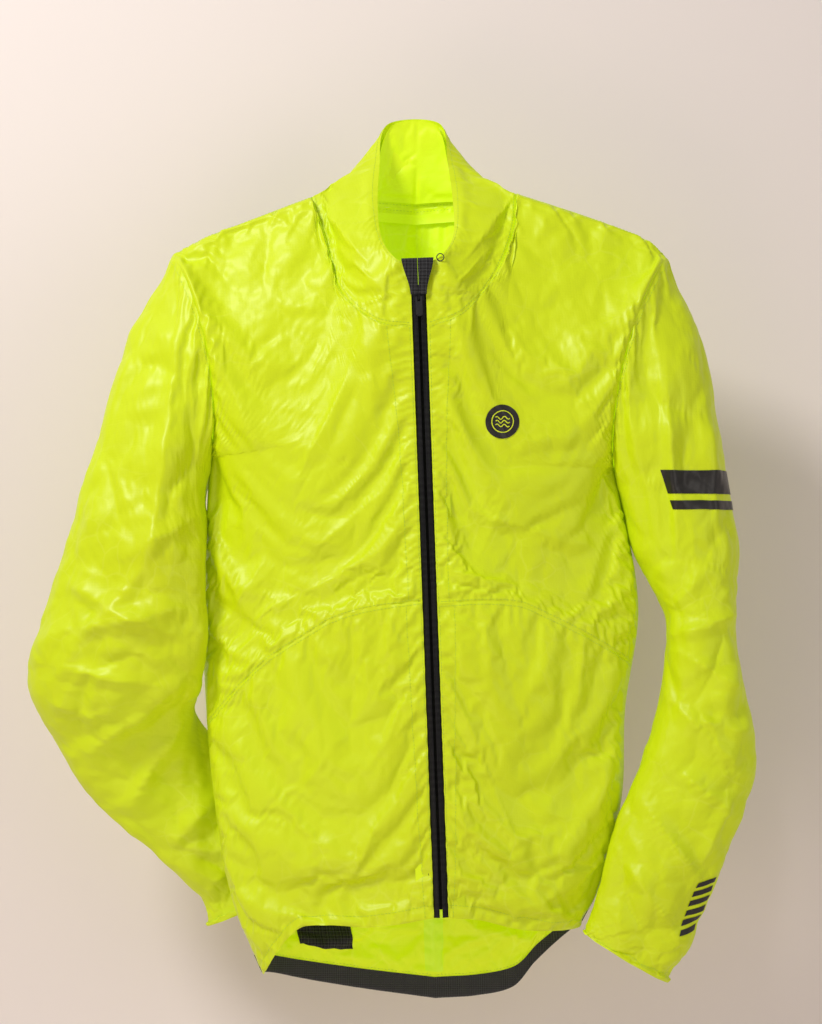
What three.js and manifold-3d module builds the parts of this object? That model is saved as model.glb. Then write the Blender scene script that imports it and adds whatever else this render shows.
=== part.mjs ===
// Rain jacket in thin coated nylon, worn for riding and sailing: two fronts closed by a full zip,
// a longer back with a bound tail, set-in sleeves and a stand collar. Everything is a cut and sewn
// sheet, so each panel is a thin closed shell that stops just short of its neighbour at the seam.
// Millimetres, +Z up, the front faces -Y and the wearer's left is +X. The origin is on the inside of
// the back neck seam, where the neck of a hanger stands between the two shoulders it holds up.

import * as THREE from 'three';
import { mergeVertices } from 'three/addons/utils/BufferGeometryUtils.js';
import Module from 'manifold-3d';

const wasm = await Module();
wasm.setup();

// ---- driving dimensions ----

// overall shape of the hanging jacket
const widthScale = 1.0;         // all widths across the body and sleeves
const lengthScale = 1.0;        // all heights and lengths
const sideY = -48;              // side seams, shoulder seams and sleeve centres at the shoulder
const chestDepth = 64;          // zip plane in front of the side seams
const backDepth = 54;           // middle of the back behind the side seams
const tailDepth = 40;           // the same at the tail, where the jacket hangs slacker

// cloth and seams
const clothThick = 1.2;
const seamGap = 0.5;            // left between two panels that are sewn together
const layerGap = 0.5;           // left between two layers that lie on each other

// armholes and sleeves
const armholeDepth = 44;        // half the armhole, front to back
const armholeBow = 20;          // how far the set-in seam curves towards the body
const armholeGap = 5;           // sleeve head to armhole edge, clear of the panels' facets
const cuffElasticWidth = 12;

// zip
const zipHalfOpening = 6.6;     // cloth edge to the middle of the zip
const tapeHalfWidth = 10;
const tapeThick = 0.6;
const meshedGap = 1.3;          // half the clear slit that the slider's post runs in
const coilWidth = 2.2;
const coilThick = 1.4;
const sliderLength = 14;
const sliderHalfWidth = 4.6;
const plateThick = 1.2;
const postHalfWidth = 0.8;
const pullerWidth = 6;
const pullerLength = 16;
const pullerThick = 2.4;
const garageThick = 0.8;
const garageDrop = 27;          // how far the garage flaps hang over the slider

// trims
const archRoundness = 1.4;      // of the seam across the fronts
const bindingHeight = 18;
const bindingThick = 2.2;
const facingWidth = 11;
const stormFlapReach = 17;      // past the middle of the zip
const badgeRadius = 15;
const filmThick = 0.5;
const filmLift = 1.6;           // outer face of the transfer films, clear of the cloth's facets

const facetsAround = 24;        // around a sleeve

// ---- small helpers ----

const at = (x, y, z) => [x * widthScale, y, z * lengthScale];
const add = (a, b) => [a[0] + b[0], a[1] + b[1], a[2] + b[2]];
const sub = (a, b) => [a[0] - b[0], a[1] - b[1], a[2] - b[2]];
const times = (a, k) => [a[0] * k, a[1] * k, a[2] * k];
const mix = (a, b, t) => a.map((value, i) => value + (b[i] - value) * t);
const cross = (a, b) => [
  a[1] * b[2] - a[2] * b[1],
  a[2] * b[0] - a[0] * b[2],
  a[0] * b[1] - a[1] * b[0],
];
const length = (a) => Math.hypot(a[0], a[1], a[2]);
const unit = (a) => times(a, 1 / (length(a) || 1));
const clamp = (t) => Math.min(1, Math.max(0, t));
const smooth = (t) => clamp(t) ** 2 * (3 - 2 * clamp(t));

// A smooth curve through the points, read at 0 to 1 by length along the points, or evenly from
// point to point.
function curveThrough(points, evenly = false) {
  const steps = points.slice(1).map((point, i) => (evenly ? 1 : length(sub(point, points[i]))));
  const total = steps.reduce((sum, step) => sum + step, 0);
  const knots = [0];
  steps.forEach((step) => knots.push(knots.at(-1) + step / total));
  const slope = points.map((point, i) => {
    const before = Math.max(0, i - 1);
    const after = Math.min(points.length - 1, i + 1);
    return times(sub(points[after], points[before]), 1 / (knots[after] - knots[before]));
  });
  return (t) => {
    const u = clamp(t);
    let i = 0;
    while (i < points.length - 2 && u > knots[i + 1]) i += 1;
    const span = knots[i + 1] - knots[i];
    const f = (u - knots[i]) / span;
    const near = times(points[i], 2 * f ** 3 - 3 * f ** 2 + 1);
    const far = times(points[i + 1], 3 * f ** 2 - 2 * f ** 3);
    const nearPull = times(slope[i], (f ** 3 - 2 * f ** 2 + f) * span);
    const farPull = times(slope[i + 1], (f ** 3 - f ** 2) * span);
    return add(add(near, far), add(nearPull, farPull));
  };
}

// Turns a list of triangles into a closed geometry whose faces point out.
function closedGeometry(corners, triangles) {
  let volume = 0;
  triangles.forEach(([a, b, c]) => {
    const [p, q, r] = [corners[a], corners[b], corners[c]];
    const n = cross(q, r);
    volume += (p[0] * n[0] + p[1] * n[1] + p[2] * n[2]) / 6;
  });
  const faces = volume < 0 ? triangles.map(([a, b, c]) => [a, c, b]) : triangles;
  const geometry = new THREE.BufferGeometry();
  geometry.setAttribute('position', new THREE.Float32BufferAttribute(corners.flat(), 3));
  geometry.setIndex(faces.flat());
  geometry.computeVertexNormals();
  return geometry;
}

// A thin shell: surface(u, v) is its outer face for u and v from 0 to 1, and the inner face lies
// thick behind it. lift moves both faces outward. A ring closes on itself in u.
function shell(surface, { across, along, thick, lift = 0, ring = false, flip = 1 }) {
  const columns = ring ? across : across + 1;
  const grid = [];
  for (let j = 0; j <= along; j += 1) {
    for (let i = 0; i < columns; i += 1) grid.push(surface(i / across, j / along));
  }
  const id = (i, j) => j * columns + (i % columns);
  const facing = grid.map(() => [0, 0, 0]);
  for (let j = 0; j < along; j += 1) {
    for (let i = 0; i < across; i += 1) {
      const quad = [id(i, j), id(i + 1, j), id(i + 1, j + 1), id(i, j + 1)];
      quad.forEach((corner, k) => {
        const toNext = sub(grid[quad[(k + 1) % 4]], grid[corner]);
        const toLast = sub(grid[quad[(k + 3) % 4]], grid[corner]);
        facing[corner] = add(facing[corner], unit(cross(toNext, toLast)));
      });
    }
  }
  const corners = [lift, lift - thick].flatMap(
    (offset) => grid.map((point, k) => add(point, times(unit(facing[k]), flip * offset))),
  );
  const inner = grid.length;
  const triangles = [];
  const quad = (a, b, c, d) => triangles.push([a, b, c], [a, c, d]);
  for (let j = 0; j < along; j += 1) {
    for (let i = 0; i < across; i += 1) {
      quad(id(i, j), id(i + 1, j), id(i + 1, j + 1), id(i, j + 1));
      quad(id(i, j) + inner, id(i, j + 1) + inner, id(i + 1, j + 1) + inner, id(i + 1, j) + inner);
    }
    if (!ring) {
      quad(id(0, j) + inner, id(0, j), id(0, j + 1), id(0, j + 1) + inner);
      quad(id(across, j), id(across, j) + inner, id(across, j + 1) + inner, id(across, j + 1));
    }
  }
  for (let i = 0; i < across; i += 1) {
    quad(id(i, 0) + inner, id(i + 1, 0) + inner, id(i + 1, 0), id(i, 0));
    quad(id(i, along), id(i + 1, along), id(i + 1, along) + inner, id(i, along) + inner);
  }
  return closedGeometry(corners, triangles);
}

// A patch of a surface, between two values of u and two of v, either of which may vary.
const patch = (surface, u0, u1, v0, v1) => (u, v) => {
  const read = (value, t) => (typeof value === 'function' ? value(t) : value);
  const low = read(u0, v);
  const across = low + (read(u1, v) - low) * u;
  const bottom = read(v0, across);
  return surface(across, bottom + (read(v1, across) - bottom) * v);
};

const toSolid = (geometry) => {
  const bare = geometry.clone();
  bare.deleteAttribute('normal');
  bare.deleteAttribute('uv');
  const merged = mergeVertices(bare, 1e-4);
  return new wasm.Manifold(new wasm.Mesh({
    numProp: 3,
    vertProperties: new Float32Array(merged.attributes.position.array),
    triVerts: new Uint32Array(merged.index.array),
  }));
};

const toGeometry = (solid) => {
  const mesh = solid.getMesh();
  const geometry = new THREE.BufferGeometry();
  geometry.setAttribute('position', new THREE.BufferAttribute(mesh.vertProperties, 3));
  geometry.setIndex(new THREE.BufferAttribute(mesh.triVerts, 1));
  geometry.computeVertexNormals();
  return geometry;
};

const block = (x0, x1, y0, y1, z0, z1) => new THREE.BoxGeometry(x1 - x0, y1 - y0, z1 - z0)
  .translate((x0 + x1) / 2, (y0 + y1) / 2, (z0 + z1) / 2);

const joined = (...geometries) => toGeometry(
  geometries.map(toSolid).reduce((whole, piece) => whole.add(piece)),
);

// ---- outlines ----

const zipY = sideY - chestDepth;
const zipTop = at(3, zipY, -70);
const zipNeck = at(4, zipY, -124);
const zipFoot = at(24, zipY, -648);
const zipLine = (t) => mix(zipTop, zipFoot, t);
const zipWay = unit(sub(zipFoot, zipTop));
const zipLength = length(sub(zipFoot, zipTop));
const neckOnZip = length(sub(zipNeck, zipTop)) / zipLength;
const backNeck = at(2, 8, -3);
const backNeckCurve = (sign) => at(sign * 62, -10, 0);
const tailMiddle = at(20, sideY + tailDepth, -746);

// One side of the jacket: side -1 is the wearer's right, +1 the wearer's left.
const sides = {
  right: {
    sign: -1,
    hemCorner: at(-139, sideY, -713),
    seam: [at(-168, sideY, -642), at(-184, sideY, -550), at(-191, sideY, -470), at(-194, sideY, -370)],
    armpit: at(-188, sideY, -240),
    shoulder: at(-222, sideY, -54),
    shoulderSeam: [at(-191, sideY, -37), at(-158, sideY, -24)],
    neckPoint: at(-94, -45, 1),
    neckCurve: [at(-81, -62, -38), at(-66, -86, -89), at(-34, -110, -119)],
    hem: [at(-119, 0, -678), at(-98, 0, -659), at(-40, 0, -658)],
    tail: [at(-103, 0, -725), at(-42, 0, -737)],
    archSide: 0.35,
    archZip: 0.535,
    // rings down the sleeve: outer edge, inner edge and half the depth
    sleeve: [
      [at(-222, sideY, -54), at(-188, sideY, -240), armholeDepth],
      [at(-264, -50, -124), at(-195, -58, -276), 46],
      [at(-292, -54, -216), at(-191, -80, -316), 44],
      [at(-319, -58, -306), at(-190, -86, -356), 42],
      [at(-344, -60, -384), at(-189, -86, -402), 40],
      [at(-357, -58, -436), at(-196, -72, -446), 38],
      [at(-342, -48, -480), at(-206, -46, -468), 34],
      [at(-302, -32, -550), at(-194, -20, -492), 28],
      [at(-246, -14, -606), at(-158, 2, -538), 25],
      [at(-205, 2, -648), at(-124, 14, -602), 23],
      [at(-196, 6, -680), at(-112, 16, -644), 22],
    ],
    elbowRing: 5,
  },
  left: {
    sign: 1,
    hemCorner: at(152, sideY, -668),
    seam: [at(173, sideY, -626), at(191, sideY, -550), at(194, sideY, -470), at(206, sideY, -373)],
    armpit: at(184, sideY, -250),
    shoulder: at(232, sideY, -56),
    shoulderSeam: [at(214, sideY, -40), at(171, sideY, -22)],
    neckPoint: at(94, -45, 4),
    neckCurve: [at(90, -62, -32), at(72, -86, -76), at(42, -110, -112)],
    hem: [at(113, 0, -664), at(92, 0, -661), at(60, 0, -652)],
    tail: [at(112, 0, -711), at(93, 0, -734), at(60, 0, -743)],
    archSide: 0.39,
    archZip: 0.53,
    sleeve: [
      [at(232, sideY, -56), at(184, sideY, -250), armholeDepth],
      [at(267, -52, -126), at(196, -52, -286), 46],
      [at(287, -56, -236), at(207, -54, -330), 44],
      [at(300, -58, -322), at(229, -58, -370), 42],
      [at(297, -60, -390), at(234, -60, -398), 40],
      [at(307, -62, -455), at(228, -62, -450), 38],
      [at(314, -66, -518), at(212, -66, -510), 34],
      [at(294, -70, -578), at(184, -70, -568), 30],
      [at(274, -72, -624), at(168, -72, -620), 26],
      [at(252, -74, -676), at(158, -74, -652), 23],
      [at(230, -74, -714), at(152, -74, -668), 22],
    ],
    elbowRing: 4,
  },
};

// Half of the armhole as the front or back panel sees it, 0 at the armpit and 1 at the shoulder.
function armholePoint(side, t, face) {
  const round = Math.sin(Math.PI * t);
  const middle = mix(side.armpit, side.shoulder, (1 - Math.cos(Math.PI * t)) / 2);
  return [
    middle[0] - side.sign * armholeBow * round ** 1.5,
    middle[1] + face * armholeDepth * round,
    middle[2],
  ];
}

// The outer edge of a front (face -1) or back (face +1): side seam, then armhole.
function outerEdge(side, face) {
  const seam = curveThrough([side.hemCorner, ...side.seam, side.armpit]);
  const armpitAt = length(sub(side.armpit, side.hemCorner))
    / (length(sub(side.armpit, side.hemCorner)) + length(sub(side.shoulder, side.armpit)));
  return (t) => (t < armpitAt
    ? seam(t / armpitAt)
    : armholePoint(side, (t - armpitAt) / (1 - armpitAt), face));
}

const zipEdge = (side, t) => add(zipLine(t), [side.sign * zipHalfOpening, 0, 0]);

function topEdge(side, face) {
  const shoulder = curveThrough([side.shoulder, ...side.shoulderSeam, side.neckPoint]);
  const neckEnd = face < 0 ? zipEdge(side, neckOnZip) : backNeck;
  const neck = face < 0
    ? curveThrough([side.neckPoint, ...side.neckCurve, neckEnd])
    : curveThrough([side.neckPoint, backNeckCurve(side.sign), neckEnd]);
  const neckAt = 0.56;
  return (u) => (u < neckAt ? shoulder(u / neckAt) : neck((u - neckAt) / (1 - neckAt)));
}

// The whole front or back of one side. u runs from the side to the middle, v from hem to shoulder.
function bodySurface(side, face) {
  const outer = outerEdge(side, face);
  const top = topEdge(side, face);
  const middle = face < 0
    ? (v) => zipEdge(side, 1 + (neckOnZip - 1) * v)
    : (v) => mix(tailMiddle, backNeck, v);
  const hem = face < 0
    ? curveThrough([side.hemCorner, ...side.hem, middle(0)])
    : curveThrough([side.hemCorner, ...side.tail, middle(0)]);
  const middleY = (v) => (face < 0
    ? zipY
    : sideY + tailDepth + (backDepth - tailDepth) * smooth(v / 0.5));
  return (u, v) => {
    const hemShape = sub(hem(u), mix(outer(0), middle(0), u));
    const topShape = sub(top(u), mix(outer(1), middle(1), u));
    const straight = mix(outer(v), middle(v), u);
    const plan = add(straight, add(times(hemShape, (1 - v) ** 3), times(topShape, v ** 3)));
    const round = Math.sqrt(1 - (1 - u) ** 2);
    const rowY = outer(v)[1] + (middleY(v) - outer(v)[1]) * round;
    const nearTop = clamp((v - 0.6) / 0.4);
    const fall = (1 - Math.sqrt(1 - nearTop ** 2)) * smooth(u / 0.12);
    return [plan[0], rowY + (top(u)[1] - rowY) * fall, plan[2]];
  };
}

const archAt = (side) => (u) => side.archSide
  + (side.archZip - side.archSide) * (1 - (1 - u) ** archRoundness);

// ---- torso panels ----

const colours = {
  cloth: 0xd9f21c,
  lining: 0xcbe41a,
  tape: 0x0c0c0e,
  elastic: 0x17171a,
  film: 0x14120f,
  mesh: 0x3a3c40,
  plastic: 0x101012,
  label: 0xe6e6e0,
  loop: 0x111113,
};

function material(colour, roughness) {
  return new THREE.MeshStandardMaterial({ color: colour, roughness, metalness: 0 });
}

const cloth = material(colours.cloth, 0.42);
const lining = material(colours.lining, 0.5);
const tape = material(colours.tape, 0.45);
const elastic = material(colours.elastic, 0.8);
const film = material(colours.film, 0.35);
const meshCloth = material(colours.mesh, 0.7);
const plastic = material(colours.plastic, 0.35);
const label = material(colours.label, 0.6);
const loopTape = material(colours.loop, 0.7);

const jacket = new THREE.Group();

function place(name, geometry, finish) {
  const mesh = new THREE.Mesh(geometry, finish);
  mesh.name = name;
  jacket.add(mesh);
}

const panelWidth = length(sub(sides.right.seam[3], zipLine(0.5)));
const panelHeight = length(sub(sides.right.shoulder, sides.right.hemCorner));
const edgeU = seamGap / panelWidth;
const edgeV = seamGap / panelHeight;
const bindingV = bindingHeight / panelHeight;
const yokeV = 0.8;
const shellOf = (surface, face, options) => shell(
  surface,
  { thick: clothThick, ...options, flip: -face },
);

function fronts() {
  Object.entries(sides).forEach(([name, side]) => {
    const surface = bodySurface(side, -1);
    const arch = archAt(side);
    const face = side.sign;
    const lower = patch(surface, edgeU, 1, 0, (u) => arch(u) - edgeV);
    const upper = patch(surface, edgeU, 1, (u) => arch(u) + edgeV, 1 - edgeV);
    place(`front_lower_${name}`, shellOf(lower, face, { across: 10, along: 7 }), cloth);
    place(`front_upper_${name}`, shellOf(upper, face, { across: 10, along: 13 }), cloth);
  });
}

function backs() {
  Object.entries(sides).forEach(([name, side]) => {
    const surface = bodySurface(side, 1);
    const face = -side.sign;
    const body = patch(surface, edgeU, 1 - edgeU, bindingV + 3 * edgeV, yokeV - edgeV);
    place(`back_body_${name}`, shellOf(body, face, { across: 9, along: 10 }), cloth);
  });
}

// A surface across the whole back: u from the wearer's right side to the left side.
function wholeBack() {
  const right = bodySurface(sides.right, 1);
  const left = bodySurface(sides.left, 1);
  return (u, v) => (u < 0.5 ? right(2 * u, v) : left(2 - 2 * u, v));
}

function yoke() {
  const surface = patch(wholeBack(), edgeU / 2, 1 - edgeU / 2, yokeV + edgeV, 1 - edgeV);
  place('back_yoke', shellOf(surface, 1, { across: 18, along: 5 }), cloth);
}

function backSeamTape() {
  const half = 12 / (2 * panelWidth);
  const surface = patch(wholeBack(), 0.5 - half, 0.5 + half, bindingV + 4 * edgeV, yokeV - 4 * edgeV);
  const strip = shellOf(surface, 1, {
    across: 2, along: 10, thick: 0.6, lift: -(clothThick + layerGap),
  });
  place('back_seam_tape', strip, lining);
}

function hemTrims() {
  const band = patch(wholeBack(), edgeU / 2, 1 - edgeU / 2, -edgeV, bindingV);
  const binding = shellOf(band, 1, { across: 18, along: 1, thick: bindingThick, lift: layerGap });
  place('hem_binding', binding, elastic);
  Object.entries(sides).forEach(([name, side]) => {
    const surface = patch(bodySurface(side, -1), 0.06, 0.76, 2 * edgeV, 0.8 * bindingV);
    const strip = shellOf(surface, side.sign, {
      across: 8, along: 1, thick: 0.8, lift: -(clothThick + 5 * layerGap),
    });
    place(`hem_elastic_${name}`, strip, elastic);
  });
}

function meshVent() {
  const surface = patch(bodySurface(sides.right, 1), 0.26, 0.62, bindingV + 4 * edgeV, 0.16);
  const panel = shellOf(surface, 1, {
    across: 4, along: 3, thick: 0.6, lift: -(clothThick + layerGap),
  });
  place('mesh_vent_panel', panel, meshCloth);
}

fronts();
backs();
yoke();
backSeamTape();
hemTrims();
meshVent();

// ---- collar ----

// Both loops run from the zip on the wearer's right, round the back, to the zip on the left.
const baseLoop = curveThrough([
  zipEdge(sides.right, neckOnZip),
  ...sides.right.neckCurve.toReversed(),
  sides.right.neckPoint,
  backNeckCurve(-1),
  backNeck,
  backNeckCurve(1),
  sides.left.neckPoint,
  ...sides.left.neckCurve,
  zipEdge(sides.left, neckOnZip),
]);

const topLoop = curveThrough([
  zipEdge(sides.right, 0),
  at(-17, -110, -64),
  at(-29, -92, -44),
  at(-33, -66, -10),
  at(-32, -40, 28),
  at(-27, -12, 72),
  at(0, -5, 80),
  at(26, -12, 73),
  at(31, -36, 34),
  at(35, -62, -4),
  at(35, -88, -40),
  at(24, -110, -62),
  zipEdge(sides.left, 0),
]);

// The stand swells out over the shoulder seams, on its way from the base seam to its top edge.
const collarSwell = 20;

function collarSurface(u, v) {
  const straight = mix(baseLoop(u), topLoop(u), v);
  const rise = 6.75 * v ** 2 * (1 - v);
  const swell = collarSwell * rise * Math.abs(Math.sin(2 * Math.PI * u)) ** 1.4;
  const middle = [2, -50, straight[2]];
  return add(straight, times(unit(sub(straight, middle)), swell));
}

const collarHeight = length(sub(topLoop(0.5), baseLoop(0.5)));
const collarGap = 4;            // above the neck seam, clear of the panels' facets
const collarColumns = 32;

function collar() {
  const outer = patch(collarSurface, 0, 1, collarGap / collarHeight, 1);
  place('collar_outer', shellOf(outer, 1, { across: collarColumns, along: 5 }), cloth);
  const column = 1 / collarColumns;
  const inner = patch(collarSurface, column, 1 - column, 2 * collarGap / collarHeight, 0.97);
  const liningShell = shellOf(inner, 1, {
    across: collarColumns - 2, along: 5, thick: 0.8, lift: -(clothThick + tapeThick + 5 * layerGap),
  });
  place('collar_lining', liningShell, lining);
}

collar();

// ---- inside the back neck and the side seam ----

const neckTapeReach = 0.2;      // share of the neck seam that the tape covers
const neckTapeHeight = 9;

function neckTape() {
  const seam = (u, v) => add(
    baseLoop(0.5 + (u - 0.5) * neckTapeReach),
    [0, -4.6, -6 - v * neckTapeHeight],
  );
  place('neck_tape', shell(seam, { across: 6, along: 1, thick: 0.6 }), lining);
}

function careLabel() {
  const [x, y, z] = at(170, sideY, -590);
  place('care_label', block(x - 31, x - 1, y - 0.2, y + 0.2, z, z + 18), label);
}

neckTape();
careLabel();

// ---- zip ----

// The zip's own frame: y runs in from the outer face of the cloth and z up from the zip's foot to
// its top, which is z = 0. This places a piece made in it, with the lean that the zip hangs at.
const zipLean = Math.atan2(zipWay[0], -zipWay[2]);

function onZip(name, geometry, finish) {
  place(name, geometry.rotateY(-zipLean).translate(...zipTop), finish);
}

const tapeFront = clothThick + 0.8;
const tapeBack = tapeFront + tapeThick;
const coilFront = tapeBack + 0.3;
const coilBack = coilFront + coilThick;
const footPieceHeight = 7.5;
const stopHeight = 4.5;

// A strip down one side of the zip: how far it starts and ends from the middle, and its heights.
function zipStrip(side, near, far, front, back, foot, top) {
  const [low, high] = [side.sign * near, side.sign * far].sort((a, b) => a - b);
  return block(low, high, front, back, foot, top);
}

function zipSides() {
  Object.entries(sides).forEach(([name, side]) => {
    const coilFar = meshedGap + coilWidth;
    const coilFoot = 1.5 + footPieceHeight - zipLength;
    const stopFoot = -3 - stopHeight;
    onZip(`zip_tape_${name}`, zipStrip(
      side, meshedGap, tapeHalfWidth, tapeFront, tapeBack, -zipLength, 0,
    ), tape);
    onZip(`zip_coil_${name}`, zipStrip(
      side, meshedGap, coilFar, coilFront, coilBack, coilFoot, stopFoot - 0.5,
    ), plastic);
    onZip(`zip_top_stop_${name}`, zipStrip(
      side, meshedGap, coilFar, coilFront, coilBack, stopFoot, -3,
    ), plastic);
  });
}

function zipFootPieces() {
  const foot = 1 - zipLength;
  const top = foot + footPieceHeight;
  onZip('zip_retainer_box', zipStrip(
    sides.right, meshedGap, meshedGap + 3, coilFront, coilBack + 0.6, foot, top,
  ), plastic);
  onZip('zip_insert_pin', zipStrip(
    sides.left, meshedGap, meshedGap + 2, coilFront, coilBack, foot, top,
  ), plastic);
}

const sliderTop = -18;
const sliderFoot = sliderTop - sliderLength;
const outerPlateBack = tapeFront - 0.4;
const outerPlateFront = outerPlateBack - plateThick;
const innerPlateFront = coilBack + 0.4;
const innerPlateBack = innerPlateFront + plateThick;
const pivotRadius = 0.6;
const pivotY = outerPlateFront - 2;
const pivotZ = sliderFoot + 2;

function zipSlider() {
  const plate = (front) => block(
    -sliderHalfWidth, sliderHalfWidth, front, front + plateThick, sliderFoot, sliderTop,
  );
  const post = block(
    -postHalfWidth, postHalfWidth, outerPlateBack - 0.2, innerPlateFront + 0.2, sliderTop - 5, sliderTop - 1,
  );
  // the bridge stands on the outer plate, and the puller's pin runs through its lower end
  const bridge = block(-1, 1, pivotY - 1, pivotY + 1, pivotZ - 1, sliderTop - 2);
  const upperLeg = block(-1, 1, pivotY, outerPlateFront + 0.2, sliderTop - 4, sliderTop - 2);
  const lowerLeg = block(-1, 1, pivotY, outerPlateFront + 0.2, pivotZ - 1, pivotZ + 1);
  const pin = new THREE.CylinderGeometry(pivotRadius, pivotRadius, pullerWidth - 1, 16);
  pin.rotateZ(Math.PI / 2).translate(0, pivotY, pivotZ);
  const slider = joined(
    plate(outerPlateFront), plate(innerPlateFront), post, bridge, upperLeg, lowerLeg, pin,
  );
  onZip('zip_slider', slider, plastic);
}

// A forked tab that hangs from the slider's pin.
function zipPuller() {
  const half = pullerWidth / 2;
  const outline = new THREE.Shape();
  outline.moveTo(-half, pivotRadius + 1);
  outline.lineTo(-half, 3 - pullerLength);
  outline.quadraticCurveTo(-half, -pullerLength, 0, -pullerLength);
  outline.quadraticCurveTo(half, -pullerLength, half, 3 - pullerLength);
  outline.lineTo(half, pivotRadius + 1);
  outline.lineTo(1.4, pivotRadius + 1);
  outline.lineTo(1.4, -3);
  outline.lineTo(-1.4, -3);
  outline.lineTo(-1.4, pivotRadius + 1);
  outline.closePath();
  const tab = new THREE.ExtrudeGeometry(outline, {
    depth: pullerThick, bevelEnabled: false, curveSegments: 6,
  });
  tab.translate(0, 0, -pullerThick / 2).rotateX(Math.PI / 2).translate(0, pivotY, pivotZ);
  const clearance = pivotRadius + 0.3;
  const hole = new THREE.CylinderGeometry(clearance, clearance, 2 * pullerWidth, 16);
  hole.rotateZ(Math.PI / 2).translate(0, pivotY, pivotZ);
  onZip('zip_puller', toGeometry(toSolid(tab).subtract(toSolid(hole))), plastic);
}

// Two flaps of mesh cloth fold over the top of the zip and hang in front of the slider.
function zipGarages() {
  Object.entries(sides).forEach(([name, side]) => {
    const profile = [[9, -6], [9, 3], [6, 5], [pivotY - 3, 5], [pivotY - 4.5, 2], [pivotY - 3.2, -garageDrop]];
    const path = curveThrough(profile.map(([y, z]) => [0, y, z]));
    const flap = (u, v) => {
      const [, y, z] = path(v);
      const wide = 14 - 7 * smooth((v - 0.4) / 0.6);
      return [side.sign * (0.5 + wide * u), y, z];
    };
    const options = { across: 3, along: 14, thick: garageThick, flip: side.sign };
    onZip(`zip_garage_${name}`, shell(flap, options), meshCloth);
  });
}

const facingY = clothThick + 2.6;
const bodyTop = -neckOnZip * zipLength;

function facings() {
  Object.entries(sides).forEach(([name, side]) => {
    const near = tapeHalfWidth + layerGap;
    onZip(`front_facing_${name}`, zipStrip(
      side, near, near + facingWidth, facingY, facingY + 0.8, 4 - zipLength, bodyTop - 4,
    ), lining);
  });
}

// A strip behind the zip that keeps wind and water out, sewn to the wearer's right facing.
function stormFlap() {
  const sewn = facingY + 0.8 + 0.4;
  const clear = innerPlateBack + 0.6;
  const sewnEdge = -(tapeHalfWidth + facingWidth);
  const bend = sewnEdge + 9;
  const step = -sliderHalfWidth - 3;
  const thick = 0.8;
  const profile = new THREE.Shape();
  profile.moveTo(sewnEdge, sewn);
  profile.lineTo(bend, sewn);
  profile.lineTo(step, clear);
  profile.lineTo(stormFlapReach, clear);
  profile.lineTo(stormFlapReach, clear + thick);
  profile.lineTo(step - 0.3, clear + thick);
  profile.lineTo(bend - 0.3, sewn + thick);
  profile.lineTo(sewnEdge, sewn + thick);
  profile.closePath();
  const foot = 6 - zipLength;
  const flap = new THREE.ExtrudeGeometry(profile, { depth: bodyTop - 6 - foot, bevelEnabled: false });
  onZip('storm_flap', flap.translate(0, 0, foot), tape);
}

zipSides();
zipFootPieces();
zipSlider();
zipPuller();
zipGarages();
facings();
stormFlap();

// ---- sleeves ----

function sleeveSurface(side) {
  const outer = curveThrough(side.sleeve.map((ring) => ring[0]), true);
  const inner = curveThrough(side.sleeve.map((ring) => ring[1]), true);
  const depth = curveThrough(side.sleeve.map((ring) => [ring[2], 0, 0]), true);
  return (u, v) => {
    const angle = 2 * Math.PI * u;
    const point = mix(inner(v), outer(v), (1 + Math.cos(angle)) / 2);
    const bow = armholeBow * (1 - smooth(v / 0.25)) * Math.abs(Math.sin(angle)) ** 1.5;
    return [
      point[0] - side.sign * bow,
      point[1] - depth(v)[0] * Math.sin(angle),
      point[2],
    ];
  };
}

const elbowAt = (side) => side.elbowRing / (side.sleeve.length - 1);

function ringLength(side) {
  const middles = side.sleeve.map((ring) => mix(ring[0], ring[1], 0.5));
  const steps = middles.slice(1).map((point, i) => length(sub(point, middles[i])));
  return steps.reduce((sum, step) => sum + step, 0);
}

function sleeves() {
  Object.entries(sides).forEach(([name, side]) => {
    const surface = sleeveSurface(side);
    const total = ringLength(side);
    const elbow = elbowAt(side);
    const gap = seamGap / total;
    const tube = (v0, v1, along, options = {}) => shell(
      patch(surface, 0, 1, v0, v1),
      { across: facetsAround, along, thick: clothThick, ring: true, flip: side.sign, ...options },
    );
    place(`sleeve_upper_${name}`, tube(armholeGap / total, elbow - gap, 7), cloth);
    place(`sleeve_lower_${name}`, tube(elbow + gap, 1, 7), cloth);
    const cuffTurn = cuffElasticWidth / total;
    place(`cuff_elastic_${name}`, tube(1 - 1.4 * cuffTurn, 1 - 0.4 * cuffTurn, 1, {
      thick: 0.8, lift: -(clothThick + 2 * layerGap),
    }), elastic);
  });
}

// Where the sleeve, at one place around it, passes a given height.
function atHeight(surface, u, height) {
  let [low, high] = [0, 1];
  for (let i = 0; i < 30; i += 1) {
    const middle = (low + high) / 2;
    if (surface(u, middle)[2] > height) low = middle;
    else high = middle;
  }
  return (low + high) / 2;
}

function armbands() {
  const surface = sleeveSurface(sides.left);
  const bands = { wide: [-250, -271], narrow: [-277, -285] };
  Object.entries(bands).forEach(([name, [top, foot]]) => {
    const band = (u, v) => {
      const around = -0.1 + 0.38 * u;
      const height = (top + (foot - top) * v) * lengthScale;
      return surface(around, atHeight(surface, around, height));
    };
    place(`armband_${name}`, shell(band, {
      across: 14, along: 1, thick: filmThick, lift: filmLift, flip: sides.left.sign,
    }), film);
  });
}

function cuffMark() {
  const surface = patch(sleeveSurface(sides.left), 0.05, 0.14, 0.785, 0.88);
  place('cuff_mark', shell(surface, {
    across: 3, along: 3, thick: filmThick, lift: filmLift, flip: sides.left.sign,
  }), film);
}

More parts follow.
